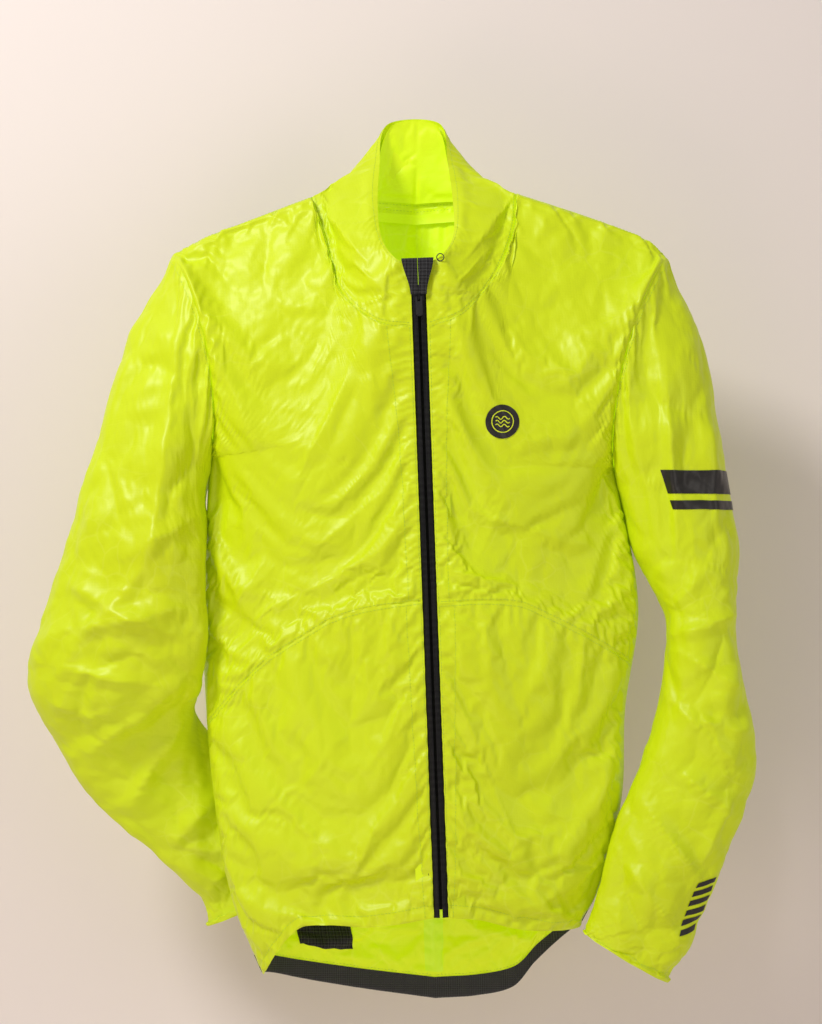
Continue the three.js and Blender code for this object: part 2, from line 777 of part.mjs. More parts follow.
// The place on a surface that is seen at x and z from the front, by Newton's steps.
function seenAt(surface, x, z) {
  let [u, v] = [0.7, 0.75];
  const small = 1e-4;
  for (let i = 0; i < 12; i += 1) {
    const here = surface(u, v);
    const alongU = times(sub(surface(u + small, v), here), 1 / small);
    const alongV = times(sub(surface(u, v + small), here), 1 / small);
    const [missX, missZ] = [x - here[0], z - here[2]];
    const area = alongU[0] * alongV[2] - alongU[2] * alongV[0];
    u = clamp(u + (missX * alongV[2] - missZ * alongV[0]) / area);
    v = clamp(v + (missZ * alongU[0] - missX * alongU[2]) / area);
  }
  return surface(u, v);
}

function chestBadge() {
  const surface = bodySurface(sides.left, -1);
  const [centreX, , centreZ] = at(78, 0, -209);
  const disc = (u, v) => {
    const angle = 2 * Math.PI * u;
    const reach = badgeRadius * (0.08 + 0.92 * v);
    const x = centreX + reach * Math.cos(angle);
    return seenAt(surface, x, centreZ + reach * Math.sin(angle));
  };
  place('chest_badge', shell(disc, {
    across: 20, along: 1, thick: filmThick, lift: filmLift, ring: true, flip: -1,
  }), film);
}

// A short loop of fine elastic cord at the wearer's left end of the collar's top edge.
function collarCordLoop() {
  const ring = new THREE.TorusGeometry(3.2, 0.5, 6, 16);
  ring.rotateX(Math.PI / 2).translate(...add(topLoop(0.965), [0, -2.4, -1]));
  place('collar_cord_loop', ring, loopTape);
}

sleeves();
armbands();
cuffMark();
chestBadge();
collarCordLoop();

export default jacket;
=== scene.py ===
import math

import bmesh
import bpy
import numpy as np
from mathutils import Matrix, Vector


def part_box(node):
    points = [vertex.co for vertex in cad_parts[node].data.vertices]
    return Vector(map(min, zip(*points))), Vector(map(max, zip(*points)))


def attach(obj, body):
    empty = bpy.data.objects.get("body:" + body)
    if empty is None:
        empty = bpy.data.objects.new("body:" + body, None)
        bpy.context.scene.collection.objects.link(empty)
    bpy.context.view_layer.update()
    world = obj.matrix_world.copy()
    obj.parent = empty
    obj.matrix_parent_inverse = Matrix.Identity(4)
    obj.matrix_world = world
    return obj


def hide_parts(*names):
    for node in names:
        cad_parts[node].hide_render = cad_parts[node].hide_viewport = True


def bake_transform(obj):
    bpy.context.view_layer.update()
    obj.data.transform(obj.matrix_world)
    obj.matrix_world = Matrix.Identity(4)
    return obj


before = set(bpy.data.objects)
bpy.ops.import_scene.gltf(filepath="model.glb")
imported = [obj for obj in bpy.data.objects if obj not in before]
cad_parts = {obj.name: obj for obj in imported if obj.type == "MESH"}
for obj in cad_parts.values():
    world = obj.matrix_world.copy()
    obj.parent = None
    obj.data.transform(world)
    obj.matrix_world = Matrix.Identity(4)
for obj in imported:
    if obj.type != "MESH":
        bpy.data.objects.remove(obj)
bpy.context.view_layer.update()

scene = bpy.context.scene
scene.view_settings.view_transform = "Standard"
MM = 0.001

# ---- camera, light and stage ----
# The jacket hangs free before a pale wall, seen level from the front, a little below its collar.
# Three soft lights and a pale sky. The key is the smallest, high on the wearer's right, so that it
# draws the creases. The wall is clear from behind, so it never hides the jacket's back.

camera_data = bpy.data.cameras.new("camera")
camera_data.sensor_fit = "VERTICAL"
camera_data.sensor_height = 36
camera_data.lens = 67.54
camera = bpy.data.objects.new("camera", camera_data)
camera.location = (-0.0028, -1.81, -0.289)
camera.rotation_euler = (math.radians(90), 0, 0)
scene.collection.objects.link(camera)
scene.camera = camera


def feed(node, inputs):
    """Sets a node's inputs, each to a value or to the socket that drives it."""
    for socket, value in inputs.items():
        if isinstance(value, bpy.types.NodeSocket):
            node.id_data.links.new(value, node.inputs[socket])
        else:
            node.inputs[socket].default_value = value


def add_node(tree, kind, inputs=None, **settings):
    node = tree.nodes.new("ShaderNode" + kind)
    for setting, value in settings.items():
        setattr(node, setting, value)
    feed(node, inputs or {})
    return node


def new_material(name):
    material = bpy.data.materials.new(name)
    material.use_nodes = True
    return material, material.node_tree, material.node_tree.nodes["Principled BSDF"]


def soft_light(name, place, aim, size, watts, colour):
    data = bpy.data.lights.new(name, "AREA")
    data.shape = "DISK"
    data.size = size
    data.energy = watts
    data.color = colour
    light = bpy.data.objects.new(name, data)
    light.location = place
    way = Vector(aim) - Vector(place)
    light.rotation_euler = way.to_track_quat("-Z", "Y").to_euler()
    scene.collection.objects.link(light)


chest = (0, -0.08, -0.32)
soft_light("key_light", (-1.0, -1.25, 1.0), chest, 0.5, 25, (1, 0.98, 0.95))
soft_light("fill_light", (1.4, -1.5, -0.2), chest, 1.2, 5, (1, 0.93, 0.86))
soft_light("low_light", (-0.5, -1.2, -1.05), (0, -0.1, -0.6), 0.8, 3, (1, 0.8, 0.62))

world = bpy.data.worlds.new("studio")
scene.world = world
world.use_nodes = True
feed(world.node_tree.nodes["Background"], {"Color": (1, 0.98, 0.97, 1), "Strength": 0.34})

WALL_Y, WALL_TOP, WALL_HALF_WIDTH = 0.16, 2.2, 3
FLOOR_Z, FLOOR_FRONT, SWEEP = -1.15, -3.4, 0.3
sweep_profile = [(FLOOR_FRONT, FLOOR_Z), (WALL_Y - SWEEP, FLOOR_Z)]
for step in range(1, 13):
    turn = math.radians(90 * step / 12)
    sweep_profile.append((WALL_Y - SWEEP + SWEEP * math.sin(turn), FLOOR_Z + SWEEP * (1 - math.cos(turn))))
sweep_profile.append((WALL_Y, WALL_TOP))
wall_mesh = bpy.data.meshes.new("wall_and_floor")
wall_mesh.from_pydata(
    [(x, y, z) for y, z in sweep_profile for x in (-WALL_HALF_WIDTH, WALL_HALF_WIDTH)],
    [],
    [(2 * i, 2 * i + 1, 2 * i + 3, 2 * i + 2) for i in range(len(sweep_profile) - 1)],
)
wall_mesh.shade_smooth()
wall = bpy.data.objects.new("wall_and_floor", wall_mesh)
scene.collection.objects.link(wall)
pale_paint, tree, paint = new_material("pale_paint")
feed(paint, {"Base Color": (0.86, 0.78, 0.75, 1), "Roughness": 0.7})
one_sided = add_node(tree, "MixShader", {
    0: add_node(tree, "NewGeometry").outputs["Backfacing"],
    1: paint.outputs[0],
    2: add_node(tree, "BsdfTransparent").outputs[0],
})
feed(tree.nodes["Material Output"], {"Surface": one_sided.outputs[0]})
wall_mesh.materials.append(pale_paint)

# ---- the pattern ----
# The outlines of the cut pieces, in millimetres, as the jacket hangs. They are the outlines of the
# solids in the frame, so every sheet starts in the place of the solid that it stands for.

SIDE_Y = -48
CHEST_DEPTH, BACK_DEPTH, TAIL_DEPTH = 64, 54, 40
ARMHOLE_DEPTH, ARMHOLE_BOW = 44, 20
ZIP_HALF_OPENING = 6.6
ZIP_Y = SIDE_Y - CHEST_DEPTH
ZIP_TOP, ZIP_NECK, ZIP_FOOT = (np.array(p, float) for p in (
    (3, ZIP_Y, -70), (4, ZIP_Y, -124), (24, ZIP_Y, -648)))
ZIP_LENGTH = np.linalg.norm(ZIP_FOOT - ZIP_TOP)
NECK_ON_ZIP = np.linalg.norm(ZIP_NECK - ZIP_TOP) / ZIP_LENGTH
BACK_NECK = np.array((2, 8, -3), float)
NECK_AT = 0.56  # the neck point's share of the way from shoulder to middle
YOKE_STARTS, ROUND_SHOULDER = 0.6, 0.12
TAIL_MIDDLE = np.array((20, SIDE_Y + TAIL_DEPTH, -746), float)

SIDES = {
    "right": dict(
        sign=-1,
        hem_corner=(-139, SIDE_Y, -713),
        seam=[(-168, SIDE_Y, -642), (-184, SIDE_Y, -550), (-191, SIDE_Y, -470), (-194, SIDE_Y, -370)],
        armpit=(-188, SIDE_Y, -240),
        shoulder=(-222, SIDE_Y, -54),
        shoulder_seam=[(-191, SIDE_Y, -37), (-158, SIDE_Y, -24)],
        neck_point=(-94, -45, 1),
        neck_curve=[(-81, -62, -38), (-66, -86, -89), (-34, -110, -119)],
        hem=[(-119, 0, -678), (-98, 0, -659), (-40, 0, -658)],
        tail=[(-103, 0, -725), (-42, 0, -737)],
        arch_side=0.35,
        arch_zip=0.535,
        # rings down the sleeve: outer edge, inner edge and half the depth
        sleeve=[
            ((-222, SIDE_Y, -54), (-188, SIDE_Y, -240), ARMHOLE_DEPTH),
            ((-264, -50, -124), (-195, -58, -276), 46),
            ((-292, -54, -216), (-191, -80, -316), 44),
            ((-319, -58, -306), (-190, -86, -356), 42),
            ((-344, -60, -384), (-189, -86, -402), 40),
            ((-357, -58, -436), (-196, -72, -446), 38),
            ((-342, -48, -480), (-206, -46, -468), 34),
            ((-302, -32, -550), (-194, -20, -492), 28),
            ((-246, -14, -606), (-158, 2, -538), 25),
            ((-205, 2, -648), (-124, 14, -602), 23),
            ((-196, 6, -680), (-112, 16, -644), 22),
        ],
        elbow_ring=5,
    ),
    "left": dict(
        sign=1,
        hem_corner=(152, SIDE_Y, -668),
        seam=[(173, SIDE_Y, -626), (191, SIDE_Y, -550), (194, SIDE_Y, -470), (206, SIDE_Y, -373)],
        armpit=(184, SIDE_Y, -250),
        shoulder=(232, SIDE_Y, -56),
        shoulder_seam=[(214, SIDE_Y, -40), (171, SIDE_Y, -22)],
        neck_point=(94, -45, 4),
        neck_curve=[(90, -62, -32), (72, -86, -76), (42, -110, -112)],
        hem=[(113, 0, -664), (92, 0, -661), (60, 0, -652)],
        tail=[(112, 0, -711), (93, 0, -734), (60, 0, -743)],
        arch_side=0.39,
        arch_zip=0.53,
        sleeve=[
            ((232, SIDE_Y, -56), (184, SIDE_Y, -250), ARMHOLE_DEPTH),
            ((267, -52, -126), (196, -52, -286), 46),
            ((287, -56, -236), (207, -54, -330), 44),
            ((300, -58, -322), (229, -58, -370), 42),
            ((297, -60, -390), (234, -60, -398), 40),
            ((307, -62, -455), (228, -62, -450), 38),
            ((314, -66, -518), (212, -66, -510), 34),
            ((294, -70, -578), (184, -70, -568), 30),
            ((274, -72, -624), (168, -72, -620), 26),
            ((252, -74, -676), (158, -74, -652), 23),
            ((230, -74, -714), (152, -74, -668), 22),
        ],
        elbow_ring=4,
    ),
}


def curve_through(points, evenly=False):
    """A smooth curve through the points, read at 0 to 1 by length along them, or evenly."""
    points = np.array(points, float)
    steps = np.linalg.norm(np.diff(points, axis=0), axis=1)
    if evenly:
        steps = np.ones_like(steps)
    knots = np.concatenate([[0], np.cumsum(steps)]) / steps.sum()
    order = np.arange(len(points))
    before, after = np.maximum(order - 1, 0), np.minimum(order + 1, len(points) - 1)
    slope = (points[after] - points[before]) / (knots[after] - knots[before])[:, None]

    def read(t):
        t = np.clip(np.asarray(t, float), 0, 1)
        i = np.clip(np.searchsorted(knots, t, side="right") - 1, 0, len(points) - 2)
        span = (knots[i + 1] - knots[i])[..., None]
        f = (t - knots[i])[..., None] / span
        ends = points[i] * (2 * f**3 - 3 * f**2 + 1) + points[i + 1] * (3 * f**2 - 2 * f**3)
        pulls = slope[i] * (f**3 - 2 * f**2 + f) + slope[i + 1] * (f**3 - f**2)
        return ends + pulls * span

    return read


def end_to_end(*pieces):
    """Curves laid end to end, each with the share of the whole that its length gives it."""
    curves = [curve_through(points) for points in pieces]
    lengths = [np.linalg.norm(np.diff(np.array(p, float), axis=0), axis=1).sum() for p in pieces]
    ends = np.cumsum([0, *lengths]) / sum(lengths)

    def read(t):
        t = np.asarray(t, float)
        out = curves[0](t / ends[1])
        for curve, start, end in zip(curves[1:], ends[1:], ends[2:]):
            out = np.where((t >= start)[..., None], curve((t - start) / (end - start)), out)
        return out

    return read


def smooth(t):
    t = np.clip(t, 0, 1)
    return t * t * (3 - 2 * t)


def between(a, b, t):
    return a + (b - a) * np.asarray(t)[..., None]


def zip_edge(side, t):
    return between(ZIP_TOP, ZIP_FOOT, t) + np.array((side["sign"] * ZIP_HALF_OPENING, 0, 0))


def outer_edge(side, face):
    """The side seam, then half of the armhole, of a front (face -1) or a back (face +1)."""
    corner, armpit, shoulder = (np.array(side[k], float) for k in ("hem_corner", "armpit", "shoulder"))
    seam = curve_through([corner, *side["seam"], armpit])
    seam_length = np.linalg.norm(armpit - corner)
    armpit_at = seam_length / (seam_length + np.linalg.norm(shoulder - armpit))

    def read(t):
        t = np.asarray(t, float)
        s = np.clip((t - armpit_at) / (1 - armpit_at), 0, 1)
        arc = np.sin(np.pi * s)
        hole = between(armpit, shoulder, (1 - np.cos(np.pi * s)) / 2)
        hole[..., 0] -= side["sign"] * ARMHOLE_BOW * np.abs(arc) ** 1.5
        hole[..., 1] += face * ARMHOLE_DEPTH * arc
        return np.where((t < armpit_at)[..., None], seam(t / armpit_at), hole)

    return read


def back_neck_side(side):
    return side["sign"] * 62, -10, 0


def top_edge(side, face):
    shoulder = curve_through([side["shoulder"], *side["shoulder_seam"], side["neck_point"]])
    if face < 0:
        neck = curve_through([side["neck_point"], *side["neck_curve"], zip_edge(side, NECK_ON_ZIP)])
    else:
        neck = curve_through([side["neck_point"], back_neck_side(side), BACK_NECK])

    def read(u):
        past = (u - NECK_AT) / (1 - NECK_AT)
        return np.where((u < NECK_AT)[..., None], shoulder(u / NECK_AT), neck(past))

    return read


def body_surface(side, face):
    """The whole front or back of one side: u from the side to the middle, v from hem to shoulder."""
    outer, top = outer_edge(side, face), top_edge(side, face)
    if face < 0:
        middle = lambda v: zip_edge(side, 1 + (NECK_ON_ZIP - 1) * v)
        low_points = side["hem"]
    else:
        middle = lambda v: between(TAIL_MIDDLE, BACK_NECK, v)
        low_points = side["tail"]
    ends = np.array(0.0), np.array(1.0)
    hem = curve_through([side["hem_corner"], *low_points, middle(ends[0])])

    def read(u, v):
        hem_shape = hem(u) - between(outer(ends[0]), middle(ends[0]), u)
        top_shape = top(u) - between(outer(ends[1]), middle(ends[1]), u)
        edge, centre = outer(v), middle(v)
        plan = edge + (centre - edge) * u[..., None]
        plan = plan + hem_shape * ((1 - v) ** 3)[..., None] + top_shape * (v**3)[..., None]
        centre_y = ZIP_Y if face < 0 else SIDE_Y + TAIL_DEPTH + (BACK_DEPTH - TAIL_DEPTH) * smooth(v / 0.5)
        row_y = edge[..., 1] + (centre_y - edge[..., 1]) * np.sqrt(1 - (1 - u) ** 2)
        near_top = np.clip((v - YOKE_STARTS) / (1 - YOKE_STARTS), 0, 1)
        kept_round = ROUND_SHOULDER * (1 - near_top**3) + 0.002
        fall = (1 - np.sqrt(1 - near_top**2)) * smooth(u / kept_round)
        plan[..., 1] = row_y + (top(u)[..., 1] - row_y) * fall
        return plan

    return read


# ---- how the cloth is cut and hung ----
# A sheet is a grid of points on its pattern surface, 5 to 6 mm apart. It is given the folds and
# creases of a light coated nylon, hung by its sewn edges, then drawn again three times finer.

CLOTH_STEP = 5.5
FINER = 3
SEWN_REACH, LOOSE_REACH = 9, 26  # how far in from a seam the cloth is held, and is quieted by it
LARGE_CREASES, SMALL_CREASES = (64, 4.2), (30, 1.5)  # size and depth
FACET_MIDDLE = 0.35
SWELL_SIZE, SWELL_DEPTH = 90, 3.0
FINE_CREASES, FINE_DEPTH = 16, 0.5
PATCH_SIZE = 60
SEAM_ROLL, SEAM_REACH = 0.45, 2.6
HANG_FRAMES = 22
hanging = []


def grid_on(surface, u_span, v_span, ring=False, step=CLOTH_STEP):
    """Points on a surface, evenly in u and v. A span's end may follow the other value."""
    def lines(columns, rows):
        u = np.linspace(*u_span, columns + 1)[: columns if ring else None]
        u, t = np.meshgrid(u, np.linspace(0, 1, rows + 1))
        low, high = (end(u) if callable(end) else end + 0 * u for end in v_span)
        return surface(u, low + (high - low) * t)

    rough = lines(12, 12)
    wide = np.linalg.norm(np.diff(rough, axis=1), axis=2).sum(1).max() * (12 / 11 if ring else 1)
    tall = np.linalg.norm(np.diff(rough, axis=0), axis=2).sum(0).max()
    return lines(max(2, round(wide / step)), max(2, round(tall / step)))


def facing_of(points, ring=False):
    """Unit normals over a grid."""
    if ring:
        along_u = np.roll(points, -1, axis=1) - np.roll(points, 1, axis=1)
    else:
        along_u = np.gradient(points, axis=1)
    n = np.cross(along_u, np.gradient(points, axis=0))
    return n / np.maximum(np.linalg.norm(n, axis=-1, keepdims=True), 1e-9)


def lattice_random(cells, seed, count):
    """Repeatable random numbers from 0 to 1 for whole-number cells."""
    x, y, z = (cells[..., i].astype(np.int64) for i in range(3))
    key = (x * 73856093) ^ (y * 19349663) ^ (z * 83492791) ^ (seed * 2654435761)
    out = []
    for i in range(count):
        h = (key + i * 374761393) & 0xFFFFFFFF
        h = ((h ^ (h >> 13)) * 1274126177) & 0xFFFFFFFF
        h = ((h ^ (h >> 16)) * 2246822519) & 0xFFFFFFFF
        out.append((h ^ (h >> 15)) / 0xFFFFFFFF)
    return np.stack(out, axis=-1)


def swell(points, size, seed):
    """Soft noise from -1 to 1 with bumps of about that size."""
    p = points / size
    low = np.floor(p)
    f = p - low
    ease = f * f * f * (f * (f * 6 - 15) + 10)
    total = np.zeros(points.shape[:-1])
    for corner in np.ndindex(2, 2, 2):
        c = np.array(corner)
        way = lattice_random(low + c, seed, 3) * 2 - 1
        share = np.prod(np.where(c, ease, 1 - ease), axis=-1)
        total += share * ((f - c) * way).sum(-1)
    return np.clip(total * 1.9, -1, 1)


def creased(points, size, seed):
    """Flat facets that meet in straight creases: 0 on a crease, up to 1 inside a facet."""
    warp = np.stack([swell(points, size * 1.6, seed + k) for k in (11, 12, 13)], axis=-1)
    p = points / size + warp * 0.35
    low = np.floor(p)
    first = np.full(points.shape[:-1], 9.0)
    second = first.copy()
    for cell in np.ndindex(3, 3, 3):
        c = low + np.array(cell) - 1
        d = np.linalg.norm(c + lattice_random(c, seed, 3) - p, axis=-1)
        second = np.minimum(second, np.maximum(first, d))
        first = np.minimum(first, d)
    return np.clip((second - first) * 1.5, 0, 1)


def fold_lines(points, folds):
    """Sharp ridges along straight lines, each (x, z, x, z, height, half width)."""
    height = np.zeros(points.shape[:-1])
    plan = points[..., [0, 2]]
    for x0, z0, x1, z1, rise, reach in folds:
        start, way = np.array((x0, z0), float), np.array((x1 - x0, z1 - z0), float)
        t = ((plan - start) @ way) / (way @ way)
        off = np.linalg.norm(plan - start - np.clip(t, 0, 1)[..., None] * way, axis=-1)
        fade = np.sin(np.pi * np.clip(t * 0.9 + 0.05, 0, 1)) ** 0.6
        height += rise * fade * np.maximum(0, 1 - off / reach) ** 1.3
    return height


def near_edges(points, held, reach):
    """0 on the edges that are held, 1 at that distance in from them."""
    rows, columns = points.shape[:2]
    row, column = np.mgrid[0:rows, 0:columns]
    tall = np.linalg.norm(np.diff(points, axis=0), axis=2).mean()
    wide = np.linalg.norm(np.diff(points, axis=1), axis=2).mean()
    off = np.full((rows, columns), 1e6)
    for edge in held:
        distance = {
            "low": row * tall, "high": (rows - 1 - row) * tall,
            "start": column * wide, "end": (columns - 1 - column) * wide,
        }[edge]
        off = np.minimum(off, distance)
    return smooth(off / reach)


def sheet_object(name, points, ring=False, normals=None):
    rows, columns = points.shape[:2]
    ids = np.arange(rows * columns).reshape(rows, columns)
    right = np.roll(ids, -1, axis=1) if ring else ids[:, 1:]
    left = ids if ring else ids[:, :-1]
    faces = np.stack([left[:-1], right[:-1], right[1:], left[1:]], axis=-1).reshape(-1, 4)
    mesh = bpy.data.meshes.new(name)
    mesh.from_pydata((points.reshape(-1, 3) * MM).tolist(), [], faces.tolist())
    mesh.shade_smooth()
    if normals is not None:
        mesh.normals_split_custom_set_from_vertices(normals.reshape(-1, 3).tolist())
    obj = bpy.data.objects.new(name, mesh)
    scene.collection.objects.link(obj)
    return obj


def hang(
    name, points, out, held, crumple=1.0, folds=(), seed=1, ring=False, droop=9.0, slack=0.03, crisp=1.0
):
    """Creases a sheet and sets it up to be hung by its held edges. out is +1 or -1, whichever way
    its grid's normals have to turn to face out of the jacket. droop is how far it may fall, slack
    its spare length, and crisp favours creases over swells."""
    facing = facing_of(points, ring) * out
    loose = near_edges(points, held, LOOSE_REACH)
    close = near_edges(points, held, SEWN_REACH)
    depth = 0
    for number, (size, most) in enumerate((LARGE_CREASES, SMALL_CREASES)):
        depth = depth + most * (creased(points, size, seed + 5 * number) - FACET_MIDDLE)
    swells = SWELL_DEPTH / crisp * swell(points, SWELL_SIZE, seed + 9) * loose
    depth = crumple * (crisp * depth * (0.35 + 0.65 * loose) + swells)
    depth = depth + crisp * fold_lines(points, folds) * loose
    if ring:  # a hanging tube lies flatter at its two edges
        around = 2 * np.pi * np.arange(points.shape[1]) / points.shape[1]
        depth = depth * (0.3 + 0.7 * np.abs(np.sin(around)))
    creased_points = points + facing * (depth * close)[..., None]
    piece = dict(
        name=name, flat=points, start=creased_points, held=held, ring=ring, out=out,
        seed=seed, crumple=crumple, droop=droop,
    )
    obj = sheet_object("hanging_" + name, creased_points, ring)
    sewn = obj.vertex_groups.new(name="sewn")
    tight = (1 - close).reshape(-1)
    for index in np.nonzero(tight > 0.01)[0]:
        sewn.add([int(index)], float(tight[index]), "REPLACE")
    cloth = obj.modifiers.new("hang", "CLOTH")
    settings = cloth.settings
    settings.quality = 5
    settings.mass = 0.12
    settings.tension_stiffness = 14
    settings.compression_stiffness = 9
    settings.shear_stiffness = 5
    settings.bending_stiffness = 0.25
    settings.air_damping = 2.5
    settings.vertex_group_mass = "sewn"
    settings.shrink_min = -slack
    settings.effector_weights.gravity = 0.35
    cloth.collision_settings.use_collision = False
    cloth.point_cache.frame_start = 1
    cloth.point_cache.frame_end = HANG_FRAMES
    piece["object"] = obj
    hanging.append(piece)
    return piece


def let_hang():
    """Runs the cloth, and keeps each point within the piece's droop of where it started."""
    for number in range(1, HANG_FRAMES + 1):
        scene.frame_set(number)
    graph = bpy.context.evaluated_depsgraph_get()
    for piece in hanging:
        mesh = piece["object"].evaluated_get(graph).data
        moved = np.empty(len(mesh.vertices) * 3)
        mesh.vertices.foreach_get("co", moved)
        moved = moved.reshape(piece["start"].shape) / MM - piece["start"]
        far = np.linalg.norm(moved, axis=-1, keepdims=True)
        limit = piece["droop"] * np.tanh(far / piece["droop"]) / np.maximum(far, 1e-6)
        piece["hung"] = piece["start"] + moved * limit
    for piece in hanging:
        old = piece.pop("object")
        mesh = old.data
        bpy.data.objects.remove(old)
        bpy.data.meshes.remove(mesh)
    scene.frame_set(1)


def drawn_finer(points, ring):
    """The same grid with more points, on smooth curves through the old ones."""
    def along(grid, closed):
        count = len(grid)
        t = np.arange(0, count * FINER if closed else (count - 1) * FINER + 1) / FINER
        i = np.floor(t).astype(int)
        f = (t - i)[:, None, None]
        if closed:
            a, b, c, d = (grid[(i + k) % count] for k in (-1, 0, 1, 2))
        else:
            a, b, c, d = (grid[np.clip(i + k, 0, count - 1)] for k in (-1, 0, 1, 2))
        square, cube = a - 2.5 * b + 2 * c - 0.5 * d, 1.5 * (b - c) + 0.5 * (d - a)
        return b + f * (0.5 * (c - a) + f * (square + f * cube))

    tall = along(points, False)
    return np.swapaxes(along(np.swapaxes(tall, 0, 1), ring), 0, 1)


def flat_size(points, ring):
    """Width, length and area of a grid of points, in metres, as it would lie flat."""
    closed = np.concatenate([points, points[:, :1]], axis=1) if ring else points
    wide = np.linalg.norm(np.diff(closed, axis=1), axis=2).sum(1).max() * MM
    tall = np.linalg.norm(np.diff(closed, axis=0), axis=2).sum(0).max() * MM
    a, b = closed[:-1, 1:] - closed[:-1, :-1], closed[1:, :-1] - closed[:-1, :-1]
    c, d = closed[1:, :-1] - closed[1:, 1:], closed[:-1, 1:] - closed[1:, 1:]
    area = (np.linalg.norm(np.cross(a, b), axis=-1).sum() + np.linalg.norm(np.cross(c, d), axis=-1).sum()) / 2
    return wide, tall, area * MM * MM


def evened(ring, columns):
    """A ring of points with its small waves averaged out, over so many columns each way."""
    return sum(np.roll(ring, shift, axis=1) for shift in range(-columns, columns + 1)) / (2 * columns + 1)


def finish_grid(piece, rolled=1.0, puckers=(), hemmed=0):
    """The finer grid of a hung piece, its small creases, and its edges rolled in at the seams.
    puckers are (edge, height, wavelength, reach) for an edge that is gathered by its stitching.
    hemmed is the width of a turned hem on the high edge of a ring, which keeps it even."""
    points = drawn_finer(piece["hung"], piece["ring"])
    facing = facing_of(points, piece["ring"]) * piece["out"]
    inside = near_edges(points, piece["held"], SEAM_REACH)
    seed, crumple = piece["seed"], piece["crumple"]
    patches = smooth(swell(points, PATCH_SIZE, seed + 25) * 1.6 + 0.45)
    depth = crumple * FINE_DEPTH * patches * (creased(points, FINE_CREASES, seed + 20) - 0.5)
    depth = depth * near_edges(points, piece["held"], 8) - SEAM_ROLL * rolled * (1 - inside)
    for edge, height, wavelength, reach in puckers:
        share = 1 - near_edges(points, [edge], reach)
        stretched = points * np.array((0.25, 0.25, 1) if edge in ("start", "end") else (1, 1, 0.25))
        depth = depth + height * share * inside * swell(stretched, wavelength, seed + 30)
    points = points + facing * depth[..., None]
    if hemmed:
        share = 1 - near_edges(points, ["high"], hemmed)
        points = between(points, evened(points, 5), share)
    piece["points"] = points
    piece["facing"] = facing_of(piece["points"], piece["ring"]) * piece["out"]
    return piece


# ---- the shell cloth ----
# Light nylon, fluorescent yellow, with a thin clear coat. Its colour is painted paler along some
# creases, a painted highlight with some wear, and a painted glow stands for the light that comes
# through it: full on the inner face, faint on the outer. The weave is fine, with a small square ripstop.


def calculated(tree, operation, *values):
    return add_node(tree, "Math", dict(enumerate(values)), operation=operation).outputs[0]


def mixed(tree, factor, a, b, **settings):
    inputs = {"Factor": factor, "A": a, "B": b}
    return add_node(tree, "Mix", inputs, data_type="RGBA", **settings).outputs["Result"]


def spread(tree, value, **ends):
    """A value drawn out from one range to another; ends that aren't given stay 0 and 1."""
    inputs = {end.replace("_", " ").title(): at for end, at in ends.items()}
    return add_node(tree, "MapRange", {**inputs, "Value": value}).outputs["Result"]


def new_group(name, inputs, outputs):
    """A shader node group with float sockets. inputs gives each one's usual value."""
    group = bpy.data.node_groups.new(name, "ShaderNodeTree")
    for socket, usual in inputs.items():
        made = group.interface.new_socket(socket, in_out="INPUT", socket_type="NodeSocketFloat")
        made.default_value = usual
    for socket in outputs:
        group.interface.new_socket(socket, in_out="OUTPUT", socket_type="NodeSocketFloat")
    place = add_node(group, "TexCoord").outputs["Object"]
    return group, group.nodes.new("NodeGroupInput").outputs, group.nodes.new("NodeGroupOutput"), place


def weave_group():
    """A plain weave with a ripstop square every few millimetres."""
    group, given, out, place = new_group(
        "weave", {"Threads per metre": 2400, "Square per metre": 200}, ["Height"])
    total = None
    for socket in ("Threads per metre", "Square per metre"):
        for axis in ((1, 0.35, 0), (0, 0.2, 1)):
            along = add_node(group, "VectorMath", {0: place, 1: axis}, operation="DOT_PRODUCT")
            turns = calculated(group, "MULTIPLY", along.outputs["Value"], given[socket])
            wave = calculated(group, "SINE", turns)
            if socket == "Threads per metre":
                part = calculated(group, "MULTIPLY", wave, 0.5)
            else:
                part = calculated(group, "POWER", calculated(group, "ABSOLUTE", wave), 12)
            total = part if total is None else calculated(group, "ADD", total, part)
    feed(out, {"Height": total})
    return group


def crinkle_group():
    """Hard little creases as a height, a mask that is 1 along some of them, and broad soft patches."""
    group, given, out, place = new_group("crinkle", {"Creases per metre": 60}, ["Height", "Crease", "Cloud"])
    bend = add_node(group, "TexNoise", {"Vector": place, "Scale": 38, "Detail": 3})
    shift = add_node(
        group, "VectorMath", {0: bend.outputs["Color"], 1: (0.012, 0.012, 0.012), 2: place},
        operation="MULTIPLY_ADD")
    facets = add_node(
        group, "TexVoronoi", {"Vector": shift.outputs[0], "Scale": given["Creases per metre"]},
        feature="DISTANCE_TO_EDGE").outputs["Distance"]
    patchy = add_node(group, "TexNoise", {"Vector": place, "Scale": 14, "Detail": 4})
    cloud = add_node(group, "TexNoise", {"Vector": place, "Scale": 6, "Detail": 2})
    line = spread(group, facets, from_max=0.05, to_min=1, to_max=0)
    seen = spread(group, patchy.outputs["Fac"], from_min=0.48, from_max=0.62)
    feed(out, {
        "Height": spread(group, facets, from_max=0.35),
        "Crease": calculated(group, "MULTIPLY", line, seen),
        "Cloud": cloud.outputs["Fac"],
    })
    return group


weave = weave_group()
crinkle = crinkle_group()
# How far the paler crease colour is mixed in: a painted highlight, with some wear.
HIGHLIGHT_AND_WEAR_SHARE = 0.10


